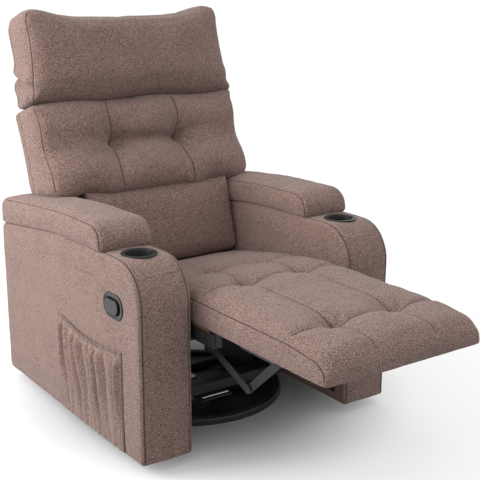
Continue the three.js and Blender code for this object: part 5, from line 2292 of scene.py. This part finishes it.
    def _handle_tool(self) -> bpy.types.Object:
        """Rounded block for the hole of the handle's bezel.

        Returns:
            The block.
        """
        low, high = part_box("handle_bezel")
        size = high - low - 2 * Vector((0, self.handle_inset, self.handle_inset))
        size.x = self.handle_depth
        centre = (low + high) / 2
        centre.x = low.x
        bm = rounded_box(size, centre, self.handle_corner, self.handle_segments)
        return add_object("handle_tool", mesh_of("handle_tool", bm), bpy.data.materials[0])

    def pad(self, maker: Upholsterer, side: Side) -> bpy.types.Object:
        """One arm pad, wrapped over its front like the arm, with a seam along each edge.

        Args:
            maker: Who covers it.
            side: Which arm it lies on.

        Returns:
            The pad.
        """
        low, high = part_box(f"arm_pad_{side.label}")
        low.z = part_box(f"arm_cover_{side.label}")[1].z
        rim = Rim(self.pad_rim, self.pad_rim, self.pad_foot, self.pad_rim)
        block = SoftBlock(
            low=low,
            high=high,
            face_axis=0,
            rim_low=rim,
            rim_high=rim,
            corners={
                (-1, -1): self.pad_corner,
                (1, -1): self.pad_corner,
                (1, 1): self.pad_rear_radius,
                (-1, 1): self.pad_front_radius,
            },
        )
        for panel in (-1, 1):
            edge = SewnLine(
                Track.RING, self.pad_seam_inset, self._pad_edge(block, panel), self.pad_seam_depth, (1,)
            )
            block.lines.append(edge)

        def sculpt(flat: np.ndarray, point: np.ndarray) -> np.ndarray:
            """Lay the pad along the arm's slope and crown it.

            Args:
                flat: Points of the cut block.
                point: The same points, rounded.

            Returns:
                The shaped points.
            """
            across, along, up = block.shares(flat).T
            rise = ramp(up, -1.0, 1.0)
            point[:, 2] += rise * self.pad_crown * (1 - across**2) * (1 - along**2)
            point[:, 2] += rise * self.pad_rear_rise * ramp(flat[:, 1], 0.0, high.y)
            swell = self.pad_swell * (1 - np.exp(-block.inset(flat) / self.pad_swell_fade))
            point[:, 0] += swell * (block.on_panel(flat, 1).astype(float) - block.on_panel(flat, -1))
            front = flat[:, 1] < low.y + TINY
            point[:, 1] -= self.pad_front_crown * front * (1 - across**2) * (1 - up**2)
            point[:, 2] -= self.drop(point[:, 1])
            return point

        piece = maker.cover(
            f"arm_pad_cushion_{side.label}", block, sculpt, None, self.pad_swelling,
            lambda flat: flat[:, 2] < low.z + TINY, seed=self.pad_seed + side.value,
        )
        return piece

    def _pad_edge(self, block: SoftBlock, panel: int) -> Mask:
        """Where a pad's seam runs: round one side panel, save its lower edge."""
        foot = block.low.z + self.pad_seam_inset + TINY
        return lambda flat: block.on_panel(flat, panel) & (flat[:, 2] > foot)


def cut_holes(piece: bpy.types.Object, tools: Sequence[bpy.types.Object]) -> None:
    """Cut tools out of a piece and remove them.

    Args:
        piece: The piece; its modifiers are applied.
        tools: Closed objects.
    """
    for tool in tools:
        modifier = piece.modifiers.new("hole", "BOOLEAN")
        modifier.operation = "DIFFERENCE"
        modifier.solver = "EXACT"
        modifier.object = tool
    flattened(piece)
    for tool in tools:
        bpy.data.objects.remove(tool)


def rounded_box(size: Vector, centre: Vector, corner: float, segments: int) -> bmesh.types.BMesh:
    """A box whose four edges along X are rounded.

    Args:
        size: Size of the box.
        centre: Its middle.
        corner: Radius of the edges.
        segments: Number of faces in each.

    Returns:
        The box.
    """
    bm = bmesh.new()
    matrix = Matrix.Translation(centre) @ Matrix.Diagonal((*size, 1.0))
    bmesh.ops.create_cube(bm, size=1.0, matrix=matrix)
    along = [edge for edge in bm.edges if abs(edge.verts[0].co.x - edge.verts[1].co.x) > TINY]
    bmesh.ops.bevel(
        bm, geom=along, offset=corner, segments=segments, profile=0.5, affect="EDGES", material=-1,
    )
    return bm


@dataclass
class Pocket:
    """Gathered cloth pocket, open at the top, with painted shade lines just inside its two ends and its
    mouth.
    """

    folds: int = 9
    columns: int = 150
    rows: int = 50
    thickness: float = 0.0024
    sag: float = 0.020
    lift: float = 0.004
    slant: float = 0.011
    clearance: float = 0.0045
    margin: float = 0.005
    # Painted shade just inside the pocket's two ends and its mouth, where its edges meet the arm.
    side_line: Wave = Wave(0.8, 0.002)
    hem_line: Wave = Wave(0.5, 0.002)
    mouth: float = 0.008
    mouth_power: float = 3.0
    fold_height: float = 0.019
    fold_power: float = 0.9
    drift: Ripple = Ripple(0.30, 3.1, 1.4)
    sway: Ripple = Ripple(0.10, 3.0)
    sway_turns: tuple[float, float] = (3.0, 2.0)
    crowding: Ripple = Ripple(0.012, 13.0, 0.7)
    drift_share: float = 0.35
    size_share: float = 0.72
    size: Ripple = Ripple(0.28, 4.3, 1.1)
    grow_shares: tuple[float, float] = (0.02, 0.14)
    calm_shares: tuple[float, float] = (0.40, 1.0)
    calmed_share: float = 0.86
    edge_share: float = 0.07
    gather: float = 0.0012
    gathers: float = 3.0

    def build(self, maker: Upholsterer) -> None:
        """Build the pocket on the outer face of the right arm.

        Args:
            maker: Gives the cloth and the stitches.
        """
        low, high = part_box("side_pocket")
        face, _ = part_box("arm_cover_right")
        width = high.y - low.y
        height = high.z - low.z
        bm = bmesh.new()
        bmesh.ops.create_grid(bm, x_segments=self.columns, y_segments=self.rows, size=1.0)
        mesh = mesh_of("gathered_pocket", bm)
        across, up = ((mesh_points(mesh)[:, axis] + 1) / 2 for axis in (0, 1))
        y = low.y + width * across
        top = high.z + self.lift + self.slant * across - self.sag * np.sin(math.pi * across)
        z = low.z + (top - low.z) * up
        off = self.clearance + self._hang(across, up)
        points = np.stack((face.x - off, y, z), axis=1)
        set_points(mesh, points)
        obj = add_object("gathered_pocket", mesh, maker.finishes.cloth)
        # Painted shade lines inside the ends and the mouth, stored as the sewn-line share, with the
        # relief sunk a little there.
        sides = np.minimum(across, 1 - across) * width - self.margin / 2
        hem = (1 - up) * height - self.margin
        keep_lines(obj, np.maximum(self.side_line.over(sides), self.hem_line.over(hem)))
        keep_place(obj)
        thick = obj.modifiers.new("thickness", "SOLIDIFY")
        thick.thickness = self.thickness
        thick.offset = 0.0
        smoothed(obj)
        spans = self._spans(points, across, up)
        settle(obj, "chair_frame", "side_pocket")
        LOG.info("pocket cut to %.3f by %.3f m", *spans)

    def _hang(self, across: np.ndarray, up: np.ndarray) -> np.ndarray:
        """How far the gathered cloth stands off the arm.

        Args:
            across: Share of the way along the pocket, from its front to its rear.
            up: Share of the way up.

        Returns:
            The distance at each point.
        """
        sway_up, sway_across = self.sway_turns
        drift = self.drift.over(up) + self.sway.over(sway_up * up + sway_across * across)
        drift *= self.drift_share + (1 - self.drift_share) * across
        phase = self.folds * (across + self.crowding.over(across)) + drift
        ridge = np.abs(np.sin(math.pi * phase)) ** self.fold_power
        size = self.size_share + self.size.over(self.folds * across / 2)
        down = 1 - up
        grown = ramp(down, *self.grow_shares) * (1 - self.calmed_share * ramp(down, *self.calm_shares))
        edge = ramp(np.minimum(across, 1 - across), 0.0, self.edge_share)
        pucker = self.gather * np.sin(self.gathers * math.pi * phase) * (1 - grown)
        mouth = self.mouth * up**self.mouth_power * np.sin(math.pi * across)
        return edge * (mouth + self.fold_height * ridge * size * grown + pucker)

    def _spans(self, points: np.ndarray, across: np.ndarray, up: np.ndarray) -> tuple[float, float]:
        """Flat width and height of the cloth, measured along its folds.

        Args:
            points: The pocket's points.
            across: Their shares of the way along.
            up: Their shares of the way up.

        Returns:
            The width and the height.
        """
        lengths = []
        for share, axis in ((up, 1), (across, 2)):
            level = share[np.argmin(np.abs(share - 1 / 2))]
            line = points[np.abs(share - level) < TINY]
            line = line[np.argsort(line[:, axis])]
            lengths.append(float(np.linalg.norm(np.diff(line, axis=0), axis=1).sum()))
        return lengths[0], lengths[1]


HANDLE_BODIES = {"handle_bezel": "chair_frame", "release_paddle": "paddle"}


def soften(piece: bpy.types.Object, width: float, segments: int, sharp: float) -> None:
    """Soften the sharp edges of a hard piece.

    Args:
        piece: The piece.
        width: How wide each softened edge is.
        segments: Number of faces across it.
        sharp: Least angle between two faces whose edge is softened.
    """
    edge = piece.modifiers.new("edge", "BEVEL")
    edge.width = width
    edge.segments = segments
    edge.limit_method = "ANGLE"
    edge.angle_limit = sharp
    edge.harden_normals = True


@dataclass
class Bezel:
    """Dished plastic bezel with a finger slot, and the release paddle in it."""

    shorter: float = 0.004
    forward: float = 0.0015
    flange: float = 0.004
    corner: float = 0.033
    corner_segments: int = 12
    bead: float = 0.0028
    dish: float = 0.0034
    slot_length: float = 0.0805
    slot_height: float = 0.0440
    slot_back: float = 0.0053
    slot_drop: float = 0.0025
    wall: float = 0.002
    floor: float = 0.0025
    edge: float = 0.0011
    edge_segments: int = 4
    sharp: float = math.radians(30)
    paddle_forward: float = 0.0095
    paddle_lower: float = 0.0078
    paddle_raise: float = 0.0012
    paddle_corner: float = 0.0185
    paddle_segments: int = 10
    paddle_edge: float = 0.0026

    def build(self, finishes: Finishes) -> None:
        """Build the bezel and its paddle in place of their plain solids.

        Args:
            finishes: Gives their plastic.
        """
        low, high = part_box("handle_bezel")
        length = high.y - low.y - self.shorter
        height = high.z - low.z
        depth = high.x - low.x
        middle = (low + high) / 2 - Vector((0, self.forward, 0))
        middle.x = low.x + self.flange / 2
        plate = Vector((self.flange, length, height))
        bm = rounded_box(plate, middle, self.corner, self.corner_segments)
        bm.faces.ensure_lookup_table()
        front = min(bm.faces, key=lambda face: face.calc_center_median().x)
        rear = max(bm.faces, key=lambda face: face.calc_center_median().x)
        inner = (length - 2 * self.bead, height - 2 * self.bead)
        slot = (self.slot_length, self.slot_height)
        tub = (self.slot_length + 2 * self.wall, self.slot_height + 2 * self.wall)
        shift = Vector((0, self.slot_back, -self.slot_drop))
        sunk = Vector((self.dish, 0, 0))
        for face, size, move in (
            (front, inner, Vector()),
            (front, slot, shift + sunk),
            (front, slot, Vector((depth - self.floor, 0, 0)) - sunk),
            (rear, tub, shift),
            (rear, tub, Vector((depth - self.flange, 0, 0))),
        ):
            self._step(bm, face, size, move)
        self._finish(bm, "handle_bezel", self.edge, finishes)
        low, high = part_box("release_paddle")
        low += Vector((0, -self.paddle_forward, self.paddle_raise))
        high.z -= self.paddle_lower
        bm = rounded_box(high - low, (low + high) / 2, self.paddle_corner, self.paddle_segments)
        self._finish(bm, "release_paddle", self.paddle_edge, finishes)

    def _finish(self, bm: bmesh.types.BMesh, node: str, edge: float, finishes: Finishes) -> None:
        """Turn a mesh into the piece that stands for one solid.

        Args:
            bm: The mesh.
            node: The solid.
            edge: How wide its softened edges are.
            finishes: Gives its plastic.
        """
        bmesh.ops.recalc_face_normals(bm, faces=bm.faces)
        slot = Slot.BLACK_PLASTIC
        piece = add_object(f"{node}_moulded", mesh_of(node, bm), finishes.by_slot[slot])
        soften(piece, edge, self.edge_segments, self.sharp)
        settle(piece, HANDLE_BODIES[node], node, slot=slot)

    @staticmethod
    def _step(
        bm: bmesh.types.BMesh, face: bmesh.types.BMFace, size: tuple[float, float], move: Vector
    ) -> None:
        """Set a smaller face into a face, then move it.

        Args:
            bm: The mesh.
            face: The face; it becomes the smaller one.
            size: Its new length and height.
            move: How far it moves.
        """
        bmesh.ops.inset_region(bm, faces=[face], thickness=TINY, use_even_offset=True)
        reach = [np.ptp([vertex.co[axis] for vertex in face.verts]) for axis in (1, 2)]
        scale = Vector((1, size[0] / reach[0], size[1] / reach[1]))
        space = Matrix.Translation(-face.calc_center_median())
        bmesh.ops.scale(bm, vec=scale, space=space, verts=face.verts)
        bmesh.ops.translate(bm, vec=move, verts=face.verts)


@dataclass
class Panels:
    """Small upholstered boards: the front seat rail and the rear panel between the arms."""

    edge: float = 0.006
    corner: float = 0.008
    step: float = 0.014
    round_steps: int = 2
    uneven: float = 0.0008
    seed: float = 30.0

    def build(self, maker: Upholsterer) -> None:
        """Build both boards.

        Args:
            maker: Who covers them.
        """
        for name, node, body in (
            ("seat_apron", "seat_front_rail", "seat_frame"),
            ("rear_apron", "rear_panel", "chair_frame"),
        ):
            low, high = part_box(node)
            block = SoftBlock(
                low=low,
                high=high,
                face_axis=1,
                rim_low=Rim.even(self.edge),
                rim_high=Rim.even(self.edge),
                corners=four_corners(self.corner, self.corner),
                step=self.step,
                round_steps=self.round_steps,
            )
            piece = maker.cover(
                name, block, lambda flat, point: point, seed=self.seed, uneven=self.uneven,
            )
            settle(piece, body, node)


@dataclass
class HardParts:
    """Metal, plastic and timber pieces of the frame, with softened edges and smooth round faces."""

    edge: float = 0.0009
    moulded_edge: float = 0.0018
    segments: int = 2
    sharp: float = math.radians(32)
    merge: float = 0.00002
    flat: float = math.radians(0.5)

    def build(self, finishes: Finishes) -> None:
        """Refine every solid that is neither upholstery nor a part of the handle.

        Args:
            finishes: The materials.
        """
        bodies = frame["record"]["behaviour"]["bodies"]
        body_of = {node: body for body, nodes in bodies.items() for node in nodes}
        for part in frame["record"]["subparts"]:
            node = part["node"]
            slot = Slot(part["material_slot"])
            if slot is Slot.UPHOLSTERY or node in HANDLE_BODIES:
                continue
            width = self.moulded_edge if slot is Slot.BLACK_PLASTIC else self.edge
            piece = self.refined(node, finishes.by_slot[slot], width)
            settle(piece, body_of[node], node, slot=slot)

    def refined(self, node: str, material: bpy.types.Material, width: float) -> bpy.types.Object:
        """Copy one solid and soften its edges.

        Args:
            node: Name of the solid.
            material: Its finish.
            width: How wide its softened edges are.

        Returns:
            The refined copy.
        """
        bm = bmesh.new()
        bm.from_mesh(frame["nodes"][node].data)
        bmesh.ops.remove_doubles(bm, verts=bm.verts, dist=self.merge)
        bmesh.ops.dissolve_limit(
            bm, angle_limit=self.flat, verts=bm.verts, edges=bm.edges, use_dissolve_boundaries=False,
        )
        piece = add_object(f"{node}_finished", mesh_of(node, bm), material)
        piece.data.set_sharp_from_angle(angle=self.sharp)
        soften(piece, width, self.segments, self.sharp)
        return piece


@dataclass
class Studio:
    """Pale floor, soft light and the camera."""

    eye: Vector = Vector((-1.589, -2.548, 1.277))
    aim: Vector = Vector((0.1742, -0.030, 0.4699))
    lens: float = 75.3
    sensor: float = 36.0
    ambient: float = 1.0
    lamp_place: Vector = Vector((-2.2, 0.75, 1.55))
    lamp_aim: Vector = Vector((0.0, 0.0, 0.45))
    lamp_power: float = 60.0
    lamp_size: float = 1.4
    floor_half: float = 200.0
    floor_seen: Colour = (0.60, 0.60, 0.605)
    floor_real: Colour = (0.32, 0.32, 0.32)
    # Painted glow of the floor as seen, from nothing near the chair to full away from it, so that the
    # chair's shadow stays only close by.
    floor_lift: float = 0.42
    lift_from: float = 0.32
    lift_to: float = 0.75

    def build(self) -> None:
        """Make the camera, the lights, the world and the floor."""
        scene = bpy.context.scene
        scene.view_settings.view_transform = "Standard"
        data = bpy.data.cameras.new("camera")
        data.lens = self.lens
        data.sensor_width = self.sensor
        data.clip_end = 2 * self.floor_half
        camera = bpy.data.objects.new("camera", data)
        camera.location = self.eye
        camera.rotation_euler = (self.aim - self.eye).to_track_quat("-Z", "Y").to_euler()
        scene.collection.objects.link(camera)
        scene.camera = camera
        data = bpy.data.lights.new("softbox", "AREA")
        data.energy = self.lamp_power
        data.size = self.lamp_size
        lamp = bpy.data.objects.new("softbox", data)
        lamp.location = self.lamp_place
        lamp.rotation_euler = (self.lamp_aim - self.lamp_place).to_track_quat("-Z", "Y").to_euler()
        scene.collection.objects.link(lamp)
        scene.world = self.world()
        self.floor()

    def world(self) -> bpy.types.World:
        """Plain white light all round.

        Returns:
            The world.
        """
        world = bpy.data.worlds.new("room")
        world.use_nodes = True
        shine = world.node_tree.nodes["Background"].inputs
        shine["Color"].default_value = (1.0, 1.0, 1.0, 1.0)
        shine["Strength"].default_value = self.ambient
        return world

    def floor(self) -> None:
        """Wide plain floor, pale for the camera and duller for the light that it sends back, with a
        painted glow that grows with distance from the chair, so that only the floor close to it keeps
        its shadow.
        """
        bm = bmesh.new()
        bmesh.ops.create_grid(bm, x_segments=1, y_segments=1, size=self.floor_half)
        graph = Graph("studio_floor")
        rays = [
            graph.add("ShaderNodeLightPath", None, None, f"Is {kind} Ray")
            for kind in ("Camera", "Glossy", "Transmission")
        ]
        seen = (rays[0] + rays[1] + rays[2]).clamped()
        place = graph.place()
        # Painted glow that rises with distance from the chair; the floor near the chair keeps its
        # shade.
        distance = graph.add("ShaderNodeVectorMath", {"operation": "LENGTH"}, {0: place}, "Value")
        share = ((distance - self.lift_from) / (self.lift_to - self.lift_from)).clamped()
        away = share * share * (3 - 2 * share)
        graph.shade(
            Base_Color=graph.blend(seen, self.floor_real, self.floor_seen),
            Roughness=1.0,
            Specular_IOR_Level=0.0,
            Emission_Color=graph.blend(seen * away, (0.0, 0.0, 0.0), (self.floor_lift,) * 3),
            Emission_Strength=1.0,
        )
        floor = add_object("studio_floor", mesh_of("studio_floor", bm), graph.material)
        floor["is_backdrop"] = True


def dress_frame(finishes: Finishes) -> None:
    """Give each solid of the frame its finish.

    Args:
        finishes: The materials.
    """
    for part in frame["record"]["subparts"]:
        node = frame["nodes"][part["node"]]
        node.data.materials.clear()
        node.data.materials.append(finishes.by_slot[Slot(part["material_slot"])])


def keep_places() -> None:
    """Store the rest place on every cloth piece that has none yet."""
    cloth = bpy.data.materials[HeatherCloth.name]
    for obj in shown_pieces():
        mesh = obj.data
        if obj.type != "MESH" or cloth not in list(mesh.materials):
            continue
        if PLACE_ATTRIBUTE not in mesh.attributes:
            keep_place(obj)


def main() -> None:
    """Build the whole scene."""
    logging.basicConfig(level=logging.INFO, format="%(name)s: %(message)s")
    Studio().build()
    finishes = Finishes()
    dress_frame(finishes)
    maker = Upholsterer(finishes, Stitcher(finishes.thread))
    Backrest().build(maker)
    Chaise().build(maker)
    Arms().build(maker)
    Pocket().build(maker)
    Panels().build(maker)
    Bezel().build(finishes)
    HardParts().build(finishes)
    keep_places()


if __name__ == "__main__":
    main()
